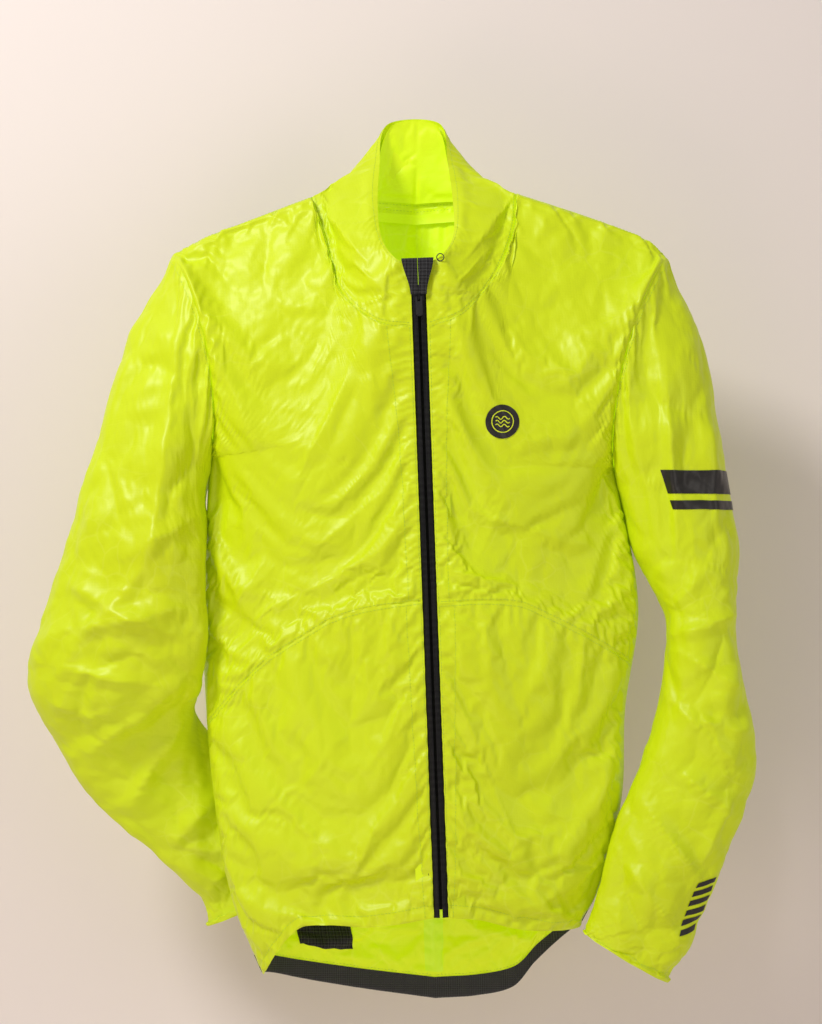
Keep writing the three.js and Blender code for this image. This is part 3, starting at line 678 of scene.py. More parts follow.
def nylon(name, deep, bright, highlight_and_wear, roughness, creases, coat, glow, face_glow=0.12):
    """A coated nylon. deep and bright are its two shades, worn the paler colour painted along some
    creases, a painted highlight with some wear. glow is the strength of a painted glow on the inner
    face, which stands for light that comes through from outside, and face_glow the outer face's share of it."""
    material, tree, bsdf = new_material(name)
    folds = add_node(tree, "Group", node_tree=crinkle)
    feed(folds, {"Creases per metre": creases})
    threads = add_node(tree, "Group", node_tree=weave)
    cloud = folds.outputs["Cloud"]
    shade = mixed(tree, cloud, (*deep, 1), (*bright, 1))
    # Paler along some creases: a painted highlight, with some wear.
    faint = calculated(tree, "MULTIPLY", folds.outputs["Crease"], HIGHLIGHT_AND_WEAR_SHARE)
    colour = mixed(tree, faint, shade, (*highlight_and_wear, 1))
    # The emission is a painted glow: the cloth's colour on the inner face, standing for light that comes
    # through, and face_glow of it on the outer face.
    dim = mixed(tree, 1, colour, (face_glow, face_glow, face_glow, 1), blend_type="MULTIPLY")
    inside = add_node(tree, "NewGeometry").outputs["Backfacing"]
    relief = add_node(
        tree, "Bump", {"Strength": 0.5, "Distance": 0.0005, "Height": folds.outputs["Height"]})
    cloth_face = add_node(tree, "Bump", {
        "Strength": 0.14, "Distance": 0.00012,
        "Height": threads.outputs["Height"], "Normal": relief.outputs["Normal"],
    })
    feed(bsdf, {
        "Base Color": colour,
        "Emission Color": mixed(tree, inside, dim, colour),
        "Emission Strength": glow,
        "Specular IOR Level": 0.36,
        "Roughness": spread(tree, cloud, to_min=roughness - 0.06, to_max=roughness + 0.1),
        "Coat Weight": coat,
        "Coat Roughness": 0.3,
        "Normal": cloth_face.outputs["Normal"],
    })
    return material


# The last two numbers set the painted glow: its strength on the inner face, and the outer face's share.
shell_nylon = nylon(
    "yellow_nylon", (0.60, 0.70, 0.002), (0.66, 0.84, 0.004), (0.86, 0.95, 0.20), 0.47, 40, 0.1, 0.28)
lining_nylon = nylon(
    "yellow_nylon_inside", (0.52, 0.64, 0.002), (0.60, 0.78, 0.004), (0.75, 0.85, 0.1), 0.52, 34, 0.06, 0.4)


def cloth_piece(name, piece, node, material=shell_nylon, slot_name="shell_cloth", rows=slice(None)):
    """The shown sheet of a finished grid, or of some of its rows."""
    points = piece["points"][rows]
    obj = sheet_object(name, points, piece["ring"], piece["facing"][rows] * piece["out"])
    obj.data.materials.append(material)
    if piece["out"] < 0:
        obj.data.flip_normals()
    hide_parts(node)
    return obj


# ---- back ----
# Two back panels joined by a middle seam and, above them, a yoke that goes over both shoulders.
# They are sewn to the fronts at the side seams and hang lowest, with the tail, behind the fronts.

ALL_EDGES = ("low", "high", "start", "end")
BINDING_HEIGHT, BACK_HEIGHT = 18, 660
YOKE_AT = 0.8
binding_at = BINDING_HEIGHT / BACK_HEIGHT

backs = {}
for number, (name, side) in enumerate(SIDES.items()):
    surface = body_surface(side, 1)
    grid = grid_on(surface, (0.0, 1.0), (binding_at, YOKE_AT))
    backs[name] = hang(f"back_{name}", grid, side["sign"], ALL_EDGES, 1.15, seed=40 + number, droop=10)


def whole_back(u, v):
    right, left = body_surface(SIDES["right"], 1), body_surface(SIDES["left"], 1)
    first = (u < 0.5)[..., None]
    return np.where(first, right(np.clip(2 * u, 0, 1), v), left(np.clip(2 - 2 * u, 0, 1), v))


yoke = hang(
    "yoke", grid_on(whole_back, (0.0, 1.0), (YOKE_AT, 1.0)), -1, ALL_EDGES, 0.8, seed=44, droop=6)

# ---- fronts ----
# Each front is an upper and a lower piece, joined by a seam that arches from the side to the zip.
# Creases from being folded away run across the chest, and the long zip seam is lightly puckered.

FRONT_FOLDS = {
    "right": [
        (-57, -165, -104, -258, 3.5, 13), (-18, -225, -78, -284, 3.2, 12),
        (-21, -262, -112, -335, 3.6, 14), (-14, -312, -146, -382, 3.2, 13),
        (-100, -400, -20, -456, 2.6, 12), (-135, -330, -182, -404, 3.0, 12),
        (-70, -110, -150, -90, 2.4, 12), (-60, -480, -120, -560, 2.8, 14),
        (-22, -540, -70, -640, 2.6, 12), (-160, -430, -110, -520, 2.4, 12),
        (-40, -150, -30, -250, 2.2, 10), (-175, -150, -130, -240, 3.0, 14),
    ],
    "left": [
        (34, -278, 160, -318, 2.8, 12), (30, -340, 132, -362, 2.6, 12), (50, -402, 172, -462, 2.8, 13),
        (112, -128, 166, -216, 3.4, 12), (166, -216, 190, -262, 3.0, 11),
        (48, -470, 100, -600, 2.6, 14), (60, -140, 110, -190, 2.2, 12),
        (150, -420, 120, -560, 2.4, 13), (90, -250, 60, -330, 2.2, 12), (36, -560, 120, -620, 2.2, 12),
        (24, -180, 60, -250, 2.0, 10), (180, -300, 150, -380, 2.6, 12),
    ],
}


def arch_of(side):
    return lambda u: side["arch_side"] + (side["arch_zip"] - side["arch_side"]) * (1 - (1 - u) ** 1.4)


fronts = {}
for number, (name, side) in enumerate(SIDES.items()):
    surface = body_surface(side, -1)
    arch = arch_of(side)
    for level, span in {"lower": (0.0, arch), "upper": (arch, 1.0)}.items():
        fronts[level, name] = hang(
            f"front_{level}_{name}", grid_on(surface, (0.0, 1.0), span), -side["sign"], ALL_EDGES, 1.0,
            FRONT_FOLDS[name], seed=3 + number, droop=8, slack=0.035)

# ---- collar ----
# A stand collar in two layers, outer cloth and lining, sewn round the neck and open at the zip.
# It is taller at the back, and bellies out over the shoulder seams where the hanger spreads it.

right_neck, left_neck = (
    [SIDES[name]["neck_point"], *SIDES[name]["neck_curve"], zip_edge(SIDES[name], NECK_ON_ZIP)]
    for name in ("right", "left"))
base_loop = end_to_end(
    right_neck[::-1], [right_neck[0], back_neck_side(SIDES["right"]), BACK_NECK],
    [BACK_NECK, back_neck_side(SIDES["left"]), left_neck[0]], left_neck)
top_loop = curve_through([
    zip_edge(SIDES["right"], 0), (-17, -110, -64), (-29, -92, -44), (-33, -66, -10), (-32, -40, 28),
    (-27, -12, 72), (0, -5, 80), (26, -12, 73), (31, -36, 34), (35, -62, -4), (35, -88, -40),
    (24, -110, -62),
    zip_edge(SIDES["left"], 0),
])
COLLAR_SWELL = 20
COLLAR_STEP, LINING_IN = 4.5, 4.4


def collar_surface(u, v):
    straight = base_loop(u) + (top_loop(u) - base_loop(u)) * v[..., None]
    belly = COLLAR_SWELL * 6.75 * v**2 * (1 - v) * np.abs(np.sin(2 * np.pi * u)) ** 1.4
    way = straight - np.stack([2 + 0 * u, -50 + 0 * u, straight[..., 2]], axis=-1)
    way /= np.maximum(np.linalg.norm(way, axis=-1, keepdims=True), 1e-9)
    return straight + way * belly[..., None]


COLLAR_FOLDS = [
    (-88, 0, -40, -70, 2.6, 9), (-60, 20, -38, -50, 2.2, 8), (88, -2, 44, -66, 2.4, 9),
    (58, 22, 40, -40, 2.0, 8), (-70, -50, -24, -96, 2.0, 8), (74, -46, 34, -92, 2.0, 8),
]
collar = hang(
    "collar", grid_on(collar_surface, (0.0, 1.0), (0.0, 1.0), step=COLLAR_STEP), -1, ALL_EDGES, 0.55,
    COLLAR_FOLDS, seed=61, droop=4, slack=0.02)


def collar_inside(u, v):
    """The lining lies inside the outer cloth, clear of the zip tape that is sewn between them."""
    points = collar_surface(u, v)
    return points + facing_of(points) * LINING_IN


collar_lining = hang(
    "collar_lining", grid_on(collar_inside, (0.03, 0.97), (0.06, 0.985), step=COLLAR_STEP), -1,
    ALL_EDGES, 0.3, seed=67, droop=2, slack=0.015)

# ---- sleeves ----
# Each sleeve is a long tapering tube, set into the armhole and gathered at the cuff by a narrow
# elastic. Its creases fan out from the inside of the elbow, where it is folded when worn.

SLEEVE_FOLDS = {
    "right": [
        (-206, -372, -330, -396, 4.2, 14), (-212, -398, -318, -350, 3.6, 13),
        (-232, -322, -330, -440, 3.4, 13), (-212, -440, -300, -504, 4.0, 15),
        (-216, -472, -268, -560, 3.4, 14), (-345, -420, -226, -442, 3.4, 13),
        (-214, -120, -238, -330, 3.0, 14), (-260, -140, -300, -290, 2.6, 14),
        (-180, -540, -232, -600, 2.6, 12), (-150, -590, -196, -640, 2.4, 11),
        (-196, -290, -262, -330, 3.0, 13), (-290, -470, -330, -455, 3.0, 12),
    ],
    "left": [
        (228, -170, 240, -334, 3.8, 12), (262, -150, 276, -300, 2.6, 13),
        (236, -398, 300, -376, 3.4, 12), (240, -410, 302, -450, 3.2, 12),
        (230, -450, 296, -520, 3.6, 14), (216, -500, 300, -566, 3.6, 14),
        (204, -540, 262, -620, 3.2, 13), (250, -470, 312, -486, 3.2, 12),
        (186, -590, 240, -668, 2.8, 12), (270, -330, 238, -372, 2.8, 12),
        (290, -540, 262, -600, 3.0, 12),
    ],
}


def sleeve_surface(side):
    outer, inner, depth = (
        curve_through([np.atleast_1d(ring[i]) if i < 2 else (ring[i], 0, 0) for ring in side["sleeve"]], True)
        for i in range(3))

    def read(u, v):
        angle = 2 * np.pi * u
        point = inner(v) + (outer(v) - inner(v)) * ((1 + np.cos(angle)) / 2)[..., None]
        bow = ARMHOLE_BOW * (1 - smooth(v / 0.25)) * np.abs(np.sin(angle)) ** 1.5
        point[..., 0] -= side["sign"] * bow
        point[..., 1] -= depth(v)[..., 0] * np.sin(angle)
        return point

    return read


sleeves = {}
for number, (name, side) in enumerate(SIDES.items()):
    sleeves[name] = hang(
        f"sleeve_{name}", grid_on(sleeve_surface(side), (0.0, 1.0), (0.0, 1.0), ring=True), side["sign"],
        ("low", "high"), 1.0, SLEEVE_FOLDS[name], seed=80 + number, ring=True, droop=5, crisp=1.7)

# ---- hanging ----
# The sewn jacket is let go: the loose cloth between the seams buckles and falls. All that
# follows is laid on the shape it comes to.

let_hang()

panels = []
for name, side in SIDES.items():
    finish_grid(backs[name], puckers=[("end", 0.8, 9, 14), ("low", 1.0, 9, 16)])
    for level in ("lower", "upper"):
        gathers = [("end", 1.1, 11, 26)] + ([("low", 1.3, 12, 22)] if level == "lower" else [])
        gathers.append(("high" if level == "lower" else "low", 0.7, 10, 14))
        finish_grid(fronts[level, name], puckers=gathers)
        panels.append((f"front_{level}_{name}", fronts[level, name], f"front_{level}_{name}"))
    panels.append((f"back_{name}", backs[name], f"back_body_{name}"))
finish_grid(yoke, puckers=[("low", 0.7, 10, 14)])
finish_grid(collar, rolled=0.6, puckers=[("low", 0.8, 9, 12), ("high", 0.5, 8, 8)])
finish_grid(collar_lining, rolled=0, puckers=[("high", 0.5, 8, 8)])
panels += [("yoke", yoke, "back_yoke"), ("collar", collar, "collar_outer")]
for name, piece, node in panels:
    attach(cloth_piece(f"cloth_{name}", piece, node), "torso")
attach(cloth_piece("cloth_collar_lining", collar_lining, "collar_lining", lining_nylon, "lining"), "torso")

# ---- sleeves, cut at the elbow ----
# The tube stays one piece of cloth in the real jacket. Here it is two, which meet at the elbow with
# shared normals, so that each bends across one joint: the upper at the armhole, the lower at the elbow.


for name, side in SIDES.items():
    piece = finish_grid(sleeves[name], puckers=[("low", 0.9, 10, 14), ("high", 1.0, 9, 18)], hemmed=9)
    rows = len(piece["points"])
    elbow_row = round((rows - 1) * side["elbow_ring"] / (len(side["sleeve"]) - 1))
    upper = cloth_piece(
        f"cloth_sleeve_upper_{name}", piece, f"sleeve_upper_{name}", rows=slice(0, elbow_row + 1))
    lower = cloth_piece(
        f"cloth_sleeve_lower_{name}", piece, f"sleeve_lower_{name}", rows=slice(elbow_row, rows))
    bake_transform(upper)
    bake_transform(lower)


# ---- laid on the cloth ----
# Trims, films and tapes lie a hair off the hung cloth, so they take their places from its grid.


def on_cloth(piece, u, v, lift):
    """The places at shares u and v of a finished grid, lift millimetres off its outer face."""
    points, facing = piece["points"], piece["facing"]
    rows, columns = points.shape[:2]
    r = np.clip(v, 0, 1) * (rows - 1)
    i = np.minimum(np.floor(r).astype(int), rows - 2)
    f = (r - i)[..., None]
    if piece["ring"]:
        c = (u % 1) * columns
        j = np.floor(c).astype(int) % columns
        k = (j + 1) % columns
        g = (c - np.floor(c))[..., None]
    else:
        c = np.clip(u, 0, 1) * (columns - 1)
        j = np.minimum(np.floor(c).astype(int), columns - 2)
        k = j + 1
        g = (c - j)[..., None]

    def read(grid):
        low = grid[i, j] * (1 - g) + grid[i, k] * g
        high = grid[i + 1, j] * (1 - g) + grid[i + 1, k] * g
        return low * (1 - f) + high * f

    return read(points) + read(facing) * lift


def shares(u_span, v_span, columns, rows):
    return np.meshgrid(np.linspace(*u_span, columns + 1), np.linspace(*v_span, rows + 1))


def trim(name, points, node, material, body, ring=False):
    """A small sheet that rides with one body."""
    obj = sheet_object(name, points, ring)
    obj.data.materials.append(material)
    if node:
        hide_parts(node)
    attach(obj, body)
    return obj


def textile(name, dark, light, roughness, threads, square, depth, shine=0.5):
    """A plain woven or knitted trim in one colour, lighter on its threads."""
    material, tree, bsdf = new_material(name)
    grain = add_node(tree, "Group", node_tree=weave)
    feed(grain, {"Threads per metre": threads, "Square per metre": square})
    height = grain.outputs["Height"]
    on_thread = spread(tree, height, from_min=-0.6, from_max=1.6)
    bump = add_node(tree, "Bump", {"Strength": 0.6, "Distance": depth, "Height": height})
    feed(bsdf, {
        "Base Color": mixed(tree, on_thread, (*dark, 1), (*light, 1)),
        "Roughness": roughness,
        "Specular IOR Level": shine,
        "Sheen Weight": 0.3 * shine,
        "Normal": bump.outputs["Normal"],
    })
    return material


# ---- tail binding and elastics ----
# The tail's edge is bound in black knitted elastic, folded over it and gathered a little. Flat
# elastics are sewn inside the front hems and the cuffs, where they draw the edge in.

elastic_knit = textile(
    "black_elastic_knit", (0.006, 0.006, 0.007), (0.045, 0.045, 0.05), 0.72, 3600, 1500, 0.0003)

u, t = shares((0.002, 0.998), (0, 1), 220, 15)
fold_over = np.abs(2 * t - 1)
binding_v = binding_at * (1.04 * fold_over**1.05)
binding = whole_back(u, binding_v)
out_of_back = -facing_of(whole_back(*shares((0.002, 0.998), (0, binding_at), 220, 15)))
outer_half = np.where(t < 0.5, 1.0, -1.0)
thick = np.sqrt(np.clip(1 - (1 - fold_over) ** 4, 0, 1))
ribs = 0.35 * np.sin(u * 620) + 0.8 * swell(binding, 16, 7)
binding = binding + out_of_back * (outer_half * (1.0 * thick) + ribs * 0.6)[..., None]
trim("cloth_hem_binding", binding, "hem_binding", elastic_knit, "torso")

for name, side in SIDES.items():
    u, v = shares((0.06, 0.76), (0.012, 0.065), 140, 8)
    strip = on_cloth(fronts["lower", name], u, v, -2.0)
    trim(f"cloth_hem_elastic_{name}", strip, f"hem_elastic_{name}", elastic_knit, "torso")
    u, v = shares((0.0, 1.0), (0.955, 0.976), 240, 6)
    ring_points = evened(on_cloth(sleeves[name], u, v, 0)[:, :-1], 9)
    middle = ring_points.mean(axis=1, keepdims=True)
    ring_points = middle + (ring_points - middle) * 0.88
    trim(f"cloth_cuff_elastic_{name}", ring_points, f"cuff_elastic_{name}", elastic_knit,
         f"lower_sleeve_{name}", ring=True)

# ---- inside the back ----
# A tape seals the middle seam, a piece of mesh backs the vent above the tail, a tape covers the
# neck seam, and the care label is sewn into the left side seam.

seam_laminate = nylon(
    "seam_tape", (0.52, 0.74, 0.01), (0.62, 0.84, 0.02), (0.7, 0.85, 0.15), 0.4, 30, 0.15, 0.3, 0.9)
half_u, half_v = shares((0.955, 1.0), (0.01, 0.995), 5, 260)
first = on_cloth(backs["right"], half_u, half_v, -0.7)
second = on_cloth(backs["left"], half_u, half_v, -0.7)[:, ::-1]
trim("cloth_back_seam_tape", np.concatenate([first, second[:, 1:]], axis=1), "back_seam_tape",
     seam_laminate, "torso")

mesh_knit = textile(
    "black_mesh_knit", (0.003, 0.003, 0.004), (0.045, 0.045, 0.048), 0.6, 2000, 1500, 0.0004, 0.2)
u, v = shares((0.35, 0.61), (0.034, 0.14), 60, 36)
vent = on_cloth(backs["right"], u, v, -1.0)
trim("cloth_mesh_vent", vent, "mesh_vent_panel", mesh_knit, "torso")

u, v = shares((0, 1), (0, 1), 60, 6)
below_seam = np.stack([0 * u, -4.6 + 0.3 * np.sin(v * np.pi), -6 - v * 9], axis=-1)
neck_tape = base_loop(0.5 + (u - 0.5) * 0.2) + below_seam
trim("cloth_neck_tape", neck_tape, "neck_tape", lining_nylon, "torso")

label_low, label_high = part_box("care_label")
label_satin = textile("white_label_satin", (0.62, 0.62, 0.60), (0.82, 0.82, 0.79), 0.4, 5200, 900, 0.0001)
u, v = shares((0, 1), (0, 1), 24, 16)
label = np.stack([
    (label_low.x + (label_high.x - label_low.x) * u) / MM,
    SIDE_Y + 1.6 * np.sin(u * 2.6) * (0.4 + 0.6 * v) + 0.5 * np.sin(v * 5),
    (label_low.z + (label_high.z - label_low.z) * v) / MM,
], axis=-1)
trim("cloth_care_label", label, "care_label", label_satin, "torso")

# ---- zip ----
# A closed-face zip: two black laminated tapes that almost meet, with the coil sewn on behind. A
# slider runs on the coils, with a tab on its outer face that hangs from a pin.

zip_way = (ZIP_FOOT - ZIP_TOP) / ZIP_LENGTH
ZIP_ACROSS = np.array((-zip_way[2], 0, zip_way[0]))


def on_zip(x, y, z):
    """A place in the zip's own frame: x across it, y in from the cloth's face, z up to its top."""
    return ZIP_TOP + x[..., None] * ZIP_ACROSS + y[..., None] * np.array((0, 1, 0)) - z[..., None] * zip_way


CLOTH_THICK = 1.2
TAPE_FRONT = CLOTH_THICK + 0.8
COIL_FRONT = TAPE_FRONT + 0.9
COIL_RADIUS = 0.9
MESHED_GAP, TAPE_HALF_WIDTH = 1.3, 10
COIL_TURNS = 430
tape_laminate = textile(
    "black_zip_laminate", (0.004, 0.004, 0.005), (0.012, 0.012, 0.013), 0.45, 900, 500, 0.00006, 0.15)
coil_nylon = textile("black_coil", (0.006, 0.006, 0.007), (0.03, 0.03, 0.032), 0.35, 5000, 3000, 0.00005)

for name, side in SIDES.items():
    across, down = shares((0, 1), (0, 1), 10, 300)
    x = side["sign"] * (MESHED_GAP + (TAPE_HALF_WIDTH - MESHED_GAP) * across)
    z = -ZIP_LENGTH * (1 - down)
    lip = -0.4 * np.exp(-(((across - 0.12) / 0.14) ** 2)) - 0.5 * smooth((0.55 - across) / 0.4)
    wave = 0.25 * np.sin(z * 0.21) + 0.2 * np.sin(z * 0.083)
    under_cloth = 1.3 * smooth((across - 0.5) / 0.25)
    tape = on_zip(x, TAPE_FRONT + lip + under_cloth + wave * 0.5, z)
    trim(f"zip_tape_half_{name}", tape, f"zip_tape_{name}", tape_laminate, "torso")
    u, t = shares((0, 1), (0, 1), 5, COIL_TURNS * 8)
    swing = 2 * np.pi * t * COIL_TURNS
    wire = 2 * np.pi * u
    reach = COIL_RADIUS + 0.3 * np.cos(wire)
    coil = on_zip(
        side["sign"] * (MESHED_GAP + 1.25 + reach * np.cos(swing)),
        COIL_FRONT + 0.7 + 0.6 * reach * np.sin(swing),
        -ZIP_LENGTH + 9.5 + (ZIP_LENGTH - 18) * t + 0.3 * np.sin(wire),
    )[:, :-1]
    obj = sheet_object(f"zip_coil_wire_{name}", coil, True)
    obj.data.materials.append(coil_nylon)
    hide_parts(f"zip_coil_{name}")
    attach(obj, "torso")


def moulded(name, colour, roughness, metallic=0.0):
    """Smooth plastic or painted metal with faint pitting and finger-worn, shinier patches."""
    material, tree, bsdf = new_material(name)
    place = add_node(tree, "TexCoord").outputs["Object"]
    patchy = add_node(tree, "TexNoise", {"Vector": place, "Scale": 700, "Detail": 5}).outputs["Fac"]
    dark, pale = (*[c * 0.7 for c in colour], 1), (*[min(1, c * 1.5) for c in colour], 1)
    bump = add_node(tree, "Bump", {"Strength": 0.2, "Distance": 0.00005, "Height": patchy})
    feed(bsdf, {
        "Base Color": mixed(tree, patchy, dark, pale),
        "Roughness": spread(tree, patchy, to_min=roughness - 0.08, to_max=roughness + 0.12),
        "Metallic": metallic,
        "Normal": bump.outputs["Normal"],
    })
    return material


black_acetal = moulded("black_acetal", (0.012, 0.012, 0.013), 0.3)
gunmetal = moulded("gunmetal_paint", (0.02, 0.02, 0.021), 0.28, 0.6)


def eased(name, node, material, radius, body):
    """The CAD solid with its sharp edges rounded off."""
    shape = bmesh.new()
    shape.from_mesh(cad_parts[node].data)
    bmesh.ops.remove_doubles(shape, verts=shape.verts, dist=1e-5)
    bmesh.ops.dissolve_limit(
        shape, angle_limit=math.radians(4), verts=shape.verts, edges=shape.edges)
    sharp = [e for e in shape.edges if e.is_manifold and e.calc_face_angle(0) > math.radians(28)]
    bmesh.ops.bevel(
        shape, geom=sharp, offset=radius * MM, segments=3, profile=0.5, affect="EDGES", clamp_overlap=True)
    bmesh.ops.recalc_face_normals(shape, faces=shape.faces)
    mesh = bpy.data.meshes.new(name)
    shape.to_mesh(mesh)
    shape.free()
    mesh.shade_smooth()
    mesh.set_sharp_from_angle(angle=math.radians(40))
    mesh.materials.clear()
    mesh.materials.append(material)
    obj = bpy.data.objects.new(name, mesh)
    scene.collection.objects.link(obj)
    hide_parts(node)
    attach(obj, body)
    return obj


eased("slider_body", "zip_slider", gunmetal, 0.25, "slider")
eased("puller_tab", "zip_puller", black_acetal, 0.35, "puller")
eased("retainer_box", "zip_retainer_box", black_acetal, 0.2, "torso")
eased("insert_pin", "zip_insert_pin", black_acetal, 0.2, "torso")
for name in SIDES:
    eased(f"top_stop_{name}", f"zip_top_stop_{name}", gunmetal, 0.2, "torso")

# ---- zip garage, facings and storm flap ----
# Two flaps of black mesh fold over the zip's top end and cover the slider. Inside, facings of the
# lining cloth finish the front edges, and a black-faced flap stops wind and water behind the coils.

PIVOT_Y = TAPE_FRONT - 0.4 - CLOTH_THICK - 2
GARAGE_DROP = 27
garage_path = curve_through([
    (0, 9, -6), (0, 9, 3), (0, 6, 5), (0, PIVOT_Y - 3, 5), (0, PIVOT_Y - 4.5, 2),
    (0, PIVOT_Y - 3.2, -GARAGE_DROP)])
for name, side in SIDES.items():
    u, v = shares((0, 1), (0, 1), 20, 70)
    route = garage_path(v)
    wide = 14 - 7 * smooth((v - 0.4) / 0.6)
    curl = 0.5 * np.sin(u * 3.1) + 0.25 * np.sin(v * 11 + u * 2)
    flap = on_zip(side["sign"] * (0.2 + wide * u), route[..., 1] - curl, route[..., 2])
    trim(f"cloth_zip_garage_{name}", flap, f"zip_garage_{name}", mesh_knit, "torso")
    near, facing_in = TAPE_HALF_WIDTH + 0.5, CLOTH_THICK + 2.6
    u, v = shares((0, 1), (0, 1), 6, 200)
    z = -ZIP_LENGTH + 4 + (ZIP_LENGTH * (1 - NECK_ON_ZIP) - 8) * v
    strip = on_zip(side["sign"] * (near + 11 * u), facing_in + 0.4 + 0.3 * np.sin(z * 0.16 + u), z)
    trim(f"cloth_front_facing_{name}", strip, f"front_facing_{name}", lining_nylon, "torso")

u, v = shares((0, 1), (0, 1), 24, 200)
flap_profile = curve_through([(-21, 5.0, 0), (-12, 5.0, 0), (-7.6, 7.6, 0), (-2, 7.7, 0), (17, 7.7, 0)])(u)
z = -ZIP_LENGTH + 6 + (ZIP_LENGTH - 30) * v
flap = on_zip(flap_profile[..., 0], flap_profile[..., 1] + 0.3 * np.sin(z * 0.11) * u + 0.3, z)
trim("cloth_storm_flap", flap, "storm_flap", tape_laminate, "torso")

# ---- transfer films ----
# Black film is heat-pressed on the cloth: a round badge on the chest, two bands round the left
# upper sleeve, and a row of slanted bars at the left cuff. The film creases with the cloth.

film_black = moulded("transfer_film_black", (0.012, 0.010, 0.008), 0.38)
film_yellow = moulded("transfer_film_yellow", (0.62, 0.85, 0.02), 0.4)
left_sleeve = sleeve_surface(SIDES["left"])


def at_height(around, height):
    """Where the left sleeve, at one place round it, passes a height."""
    low, high = np.zeros_like(around), np.ones_like(around)
    for _ in range(24):
        middle = (low + high) / 2
        above = left_sleeve(around, middle)[..., 2] > height
        low, high = np.where(above, middle, low), np.where(above, high, middle)
    return low


def film(name, points, node, material):
    obj = sheet_object(name, points)
    obj.data.materials.append(material)
    if node:
        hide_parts(node)
    return obj


for name, (top, foot) in {"wide": (-250, -271), "narrow": (-277, -285)}.items():
    u, t = shares((-0.1, 0.28), (0, 1), 90, 14 if name == "wide" else 6)
    band = on_cloth(sleeves["left"], u, at_height(u % 1, top + (foot - top) * t), 0.55)
    obj = film(f"film_armband_{name}", band, f"armband_{name}", film_black)
    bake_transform(obj)

BAR_COUNT, FIRST_BAR, BAR_PITCH, BAR_WIDTH, BAR_LEAN = 6, 0.779, 0.0165, 0.010, 0.012
for number in range(BAR_COUNT):
    u, v = shares((0.052, 0.136), (0, 1), 20, 5)
    lean = BAR_LEAN * (u - 0.05) / 0.09
    bar = on_cloth(sleeves["left"], u, FIRST_BAR + BAR_PITCH * number + BAR_WIDTH * v + lean, 0.5)
    obj = film(f"film_cuff_bar_{number + 1}", bar, "cuff_mark" if number == 0 else None, film_black)
    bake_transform(obj)

chest_low, chest_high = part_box("chest_badge")
badge_x, badge_z = ((chest_low + chest_high) / 2).x / MM, ((chest_low + chest_high) / 2).z / MM
BADGE_RADIUS = 15
chest_cloth = fronts["upper", "left"]["points"].reshape(-1, 3)
chest_facing = fronts["upper", "left"]["facing"].reshape(-1, 3)
close = np.hypot(chest_cloth[:, 0] - badge_x, chest_cloth[:, 2] - badge_z) < BADGE_RADIUS + 8
chest_cloth, chest_facing = chest_cloth[close], chest_facing[close]


def on_chest(x, z, lift):
    """The chest's cloth at x and z, weighed from its nearest points."""
    flat = np.stack([x.reshape(-1), z.reshape(-1)], axis=-1)
    off = ((flat[:, None] - chest_cloth[None][..., [0, 2]]) ** 2).sum(-1)
    share = 1 / (off + 0.15) ** 2
    share /= share.sum(1, keepdims=True)
    y = share @ chest_cloth[:, 1]
    facing = share @ chest_facing
    return (np.stack([flat[:, 0], y, flat[:, 1]], axis=-1) + facing * lift).reshape(*x.shape, 3)


u, v = shares((0, 1), (0.02, 1), 96, 18)
turn = 2 * np.pi * u
disc = on_chest(badge_x + BADGE_RADIUS * v * np.cos(turn), badge_z + BADGE_RADIUS * v * np.sin(turn), 0.6)
badge = film("film_chest_badge", disc, "chest_badge", film_black)
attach(badge, "torso")


def badge_line(name, x, z):
    """A thin yellow line on the badge, through points given from its middle."""
    path = np.stack([x, z], axis=-1)
    way = np.gradient(path, axis=0)
    side_way = np.stack([-way[:, 1], way[:, 0]], axis=-1) / np.linalg.norm(way, axis=1, keepdims=True)
    both = np.stack([path + side_way * half for half in (-LINE_HALF, LINE_HALF)], axis=0)
    obj = film(name, on_chest(badge_x + both[..., 0], badge_z + both[..., 1], 0.85), None, film_yellow)
    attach(obj, "torso")


LINE_HALF, RING_RADIUS, WAVE_HALF = 0.42, 9.5, 6.2
turn = np.linspace(0, 2 * np.pi, 80)
badge_line("badge_ring", RING_RADIUS * np.cos(turn), RING_RADIUS * np.sin(turn))
for number, height in enumerate((-3.4, 0, 3.4)):
    x = np.linspace(-WAVE_HALF, WAVE_HALF, 50)
    badge_line(f"badge_wave_{number + 1}", x, height + 1.2 * np.sin(x * 0.95))

# ---- cord loop ----
# A loop of fine black elastic at the top left of the collar holds the puller when it is worn open.
# It is a closed ring, so no end of it hangs free.

loop_low, loop_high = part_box("collar_cord_loop")
loop_middle = (loop_low + loop_high) / 2
cord_data = bpy.data.curves.new("cord_loop", "CURVE")
cord_data.dimensions = "3D"
LOOP_RADIUS, CORD_RADIUS = 3.2, 0.45
cord_data.bevel_depth = CORD_RADIUS * MM
cord_data.bevel_resolution = 3
spline = cord_data.splines.new("POLY")
loop_points = [
    (LOOP_RADIUS * math.cos(a) * MM, 0.35 * math.sin(3 * a) * MM, LOOP_RADIUS * math.sin(a) * MM)
    for a in np.linspace(0, 2 * math.pi, 48, endpoint=False)]
spline.points.add(len(loop_points) - 1)
for point, (x, y, z) in zip(spline.points, loop_points):
    point.co = (loop_middle.x + x, loop_middle.y + y, loop_middle.z + z, 1)
spline.use_cyclic_u = True
loop = bpy.data.objects.new("cord_loop", cord_data)
scene.collection.objects.link(loop)
cord_data.materials.append(
    textile("black_cord_braid", (0.004, 0.004, 0.004), (0.03, 0.03, 0.03), 0.6, 6000, 4000, 0.0002))
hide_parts("collar_cord_loop")
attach(loop, "torso")

# ---- stitching ----
# Yellow thread, three stitches to the centimetre: beside the zip and its facings, along the arched
# front seams and the back's, the yoke's and the collar's seams, round the armholes, and on the hems.

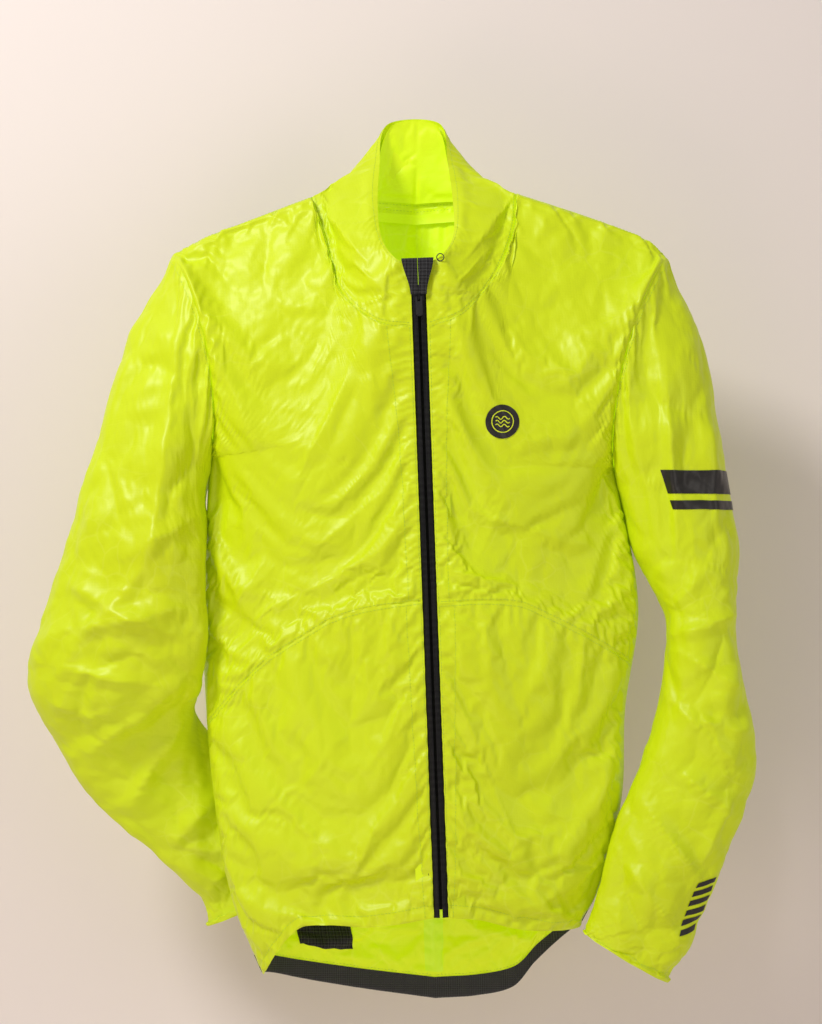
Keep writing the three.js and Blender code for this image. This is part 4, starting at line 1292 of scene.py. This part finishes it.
thread = textile("yellow_thread", (0.40, 0.62, 0.01), (0.72, 0.9, 0.05), 0.5, 9000, 5000, 0.0001)
STITCH, GAP, THREAD_RADIUS = 2.5, 0.8, 0.26


def stitch_rows(name, piece, rows, body=None):
    """Stitches along lines of a grid, each line given as its shares u and v."""
    vertices = []
    for u, v in rows:
        route = on_cloth(piece, u, v, 0.12)
        facing = on_cloth(piece, u, v, 1.12) - route
        run = np.concatenate([[0], np.cumsum(np.linalg.norm(np.diff(route, axis=0), axis=1))])
        starts = np.arange(0.5, run[-1] - STITCH, STITCH + GAP)
        marks = starts[:, None] + np.array((0, 0.3, 0.7, 1)) * STITCH
        at = np.stack([np.interp(marks, run, route[:, k]) for k in range(3)], axis=-1)
        up = np.stack([np.interp(marks, run, facing[:, k]) for k in range(3)], axis=-1)
        up /= np.linalg.norm(up, axis=-1, keepdims=True)
        along = at[:, 3:] - at[:, :1]
        along = along / np.linalg.norm(along, axis=-1, keepdims=True)
        beside = np.cross(np.broadcast_to(along, up.shape), up)
        fat = np.array((0.35, 1, 1, 0.35)) * THREAD_RADIUS
        for k in range(5):
            angle = 2 * np.pi * k / 5
            vertices.append(at + (beside * math.cos(angle) + up * math.sin(angle)) * fat[:, None])
    points, quads, first = [], [], 0
    for index in range(len(rows)):
        block = np.stack(vertices[5 * index:5 * index + 5], axis=2)
        count = len(block)
        points.append(block.reshape(-1, 3))
        stitch = np.arange(count)[:, None] * 20
        for mark in range(3):
            for k in range(5):
                a, b = mark * 5 + k, mark * 5 + (k + 1) % 5
                quads.append(first + stitch + np.array((a, b, b + 5, a + 5)))
        first += count * 20
    mesh = bpy.data.meshes.new(name)
    mesh.from_pydata((np.concatenate(points) * MM).tolist(), [], np.concatenate(quads).tolist())
    mesh.shade_smooth()
    mesh.materials.append(thread)
    obj = bpy.data.objects.new(name, mesh)
    scene.collection.objects.link(obj)
    if body:
        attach(obj, body)
    return obj


line = np.linspace(0.004, 0.996, 400)


def across_at(v):
    return line, v + 0 * line


def up_at(u):
    return u + 0 * line, line


SEAM_IN, ZIP_IN, FACING_IN, HEM_IN, TAPE_IN = 3, 2.2, 17, 12, 8
for name, side in SIDES.items():
    for level in ("lower", "upper"):
        width, height, _ = (x / MM for x in flat_size(fronts[level, name]["points"], False))
        seam_v = SEAM_IN / height if level == "upper" else 1 - SEAM_IN / height
        other_v = HEM_IN / height if level == "lower" else 1 - SEAM_IN / height
        rows = [
            up_at(1 - ZIP_IN / width), up_at(1 - FACING_IN / width), across_at(seam_v), across_at(other_v)]
        stitch_rows(f"stitches_front_{level}_{name}", fronts[level, name], rows, "torso")
    width, height, _ = (x / MM for x in flat_size(backs[name]["points"], False))
    rows = [across_at(SEAM_IN / height), across_at(1 - SEAM_IN / height), up_at(1 - TAPE_IN / width)]
    stitch_rows(f"stitches_back_{name}", backs[name], rows, "torso")
    obj = stitch_rows(f"stitches_armhole_{name}", sleeves[name], [across_at(0.007)])
    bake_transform(obj)
    obj = stitch_rows(f"stitches_cuff_{name}", sleeves[name], [across_at(0.974)])
    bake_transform(obj)
height = flat_size(yoke["points"], False)[1] / MM
stitch_rows("stitches_yoke", yoke, [across_at(SEAM_IN / height), across_at(1 - SEAM_IN / height)], "torso")
stitch_rows("stitches_collar", collar, [across_at(0.04), across_at(0.97)], "torso")
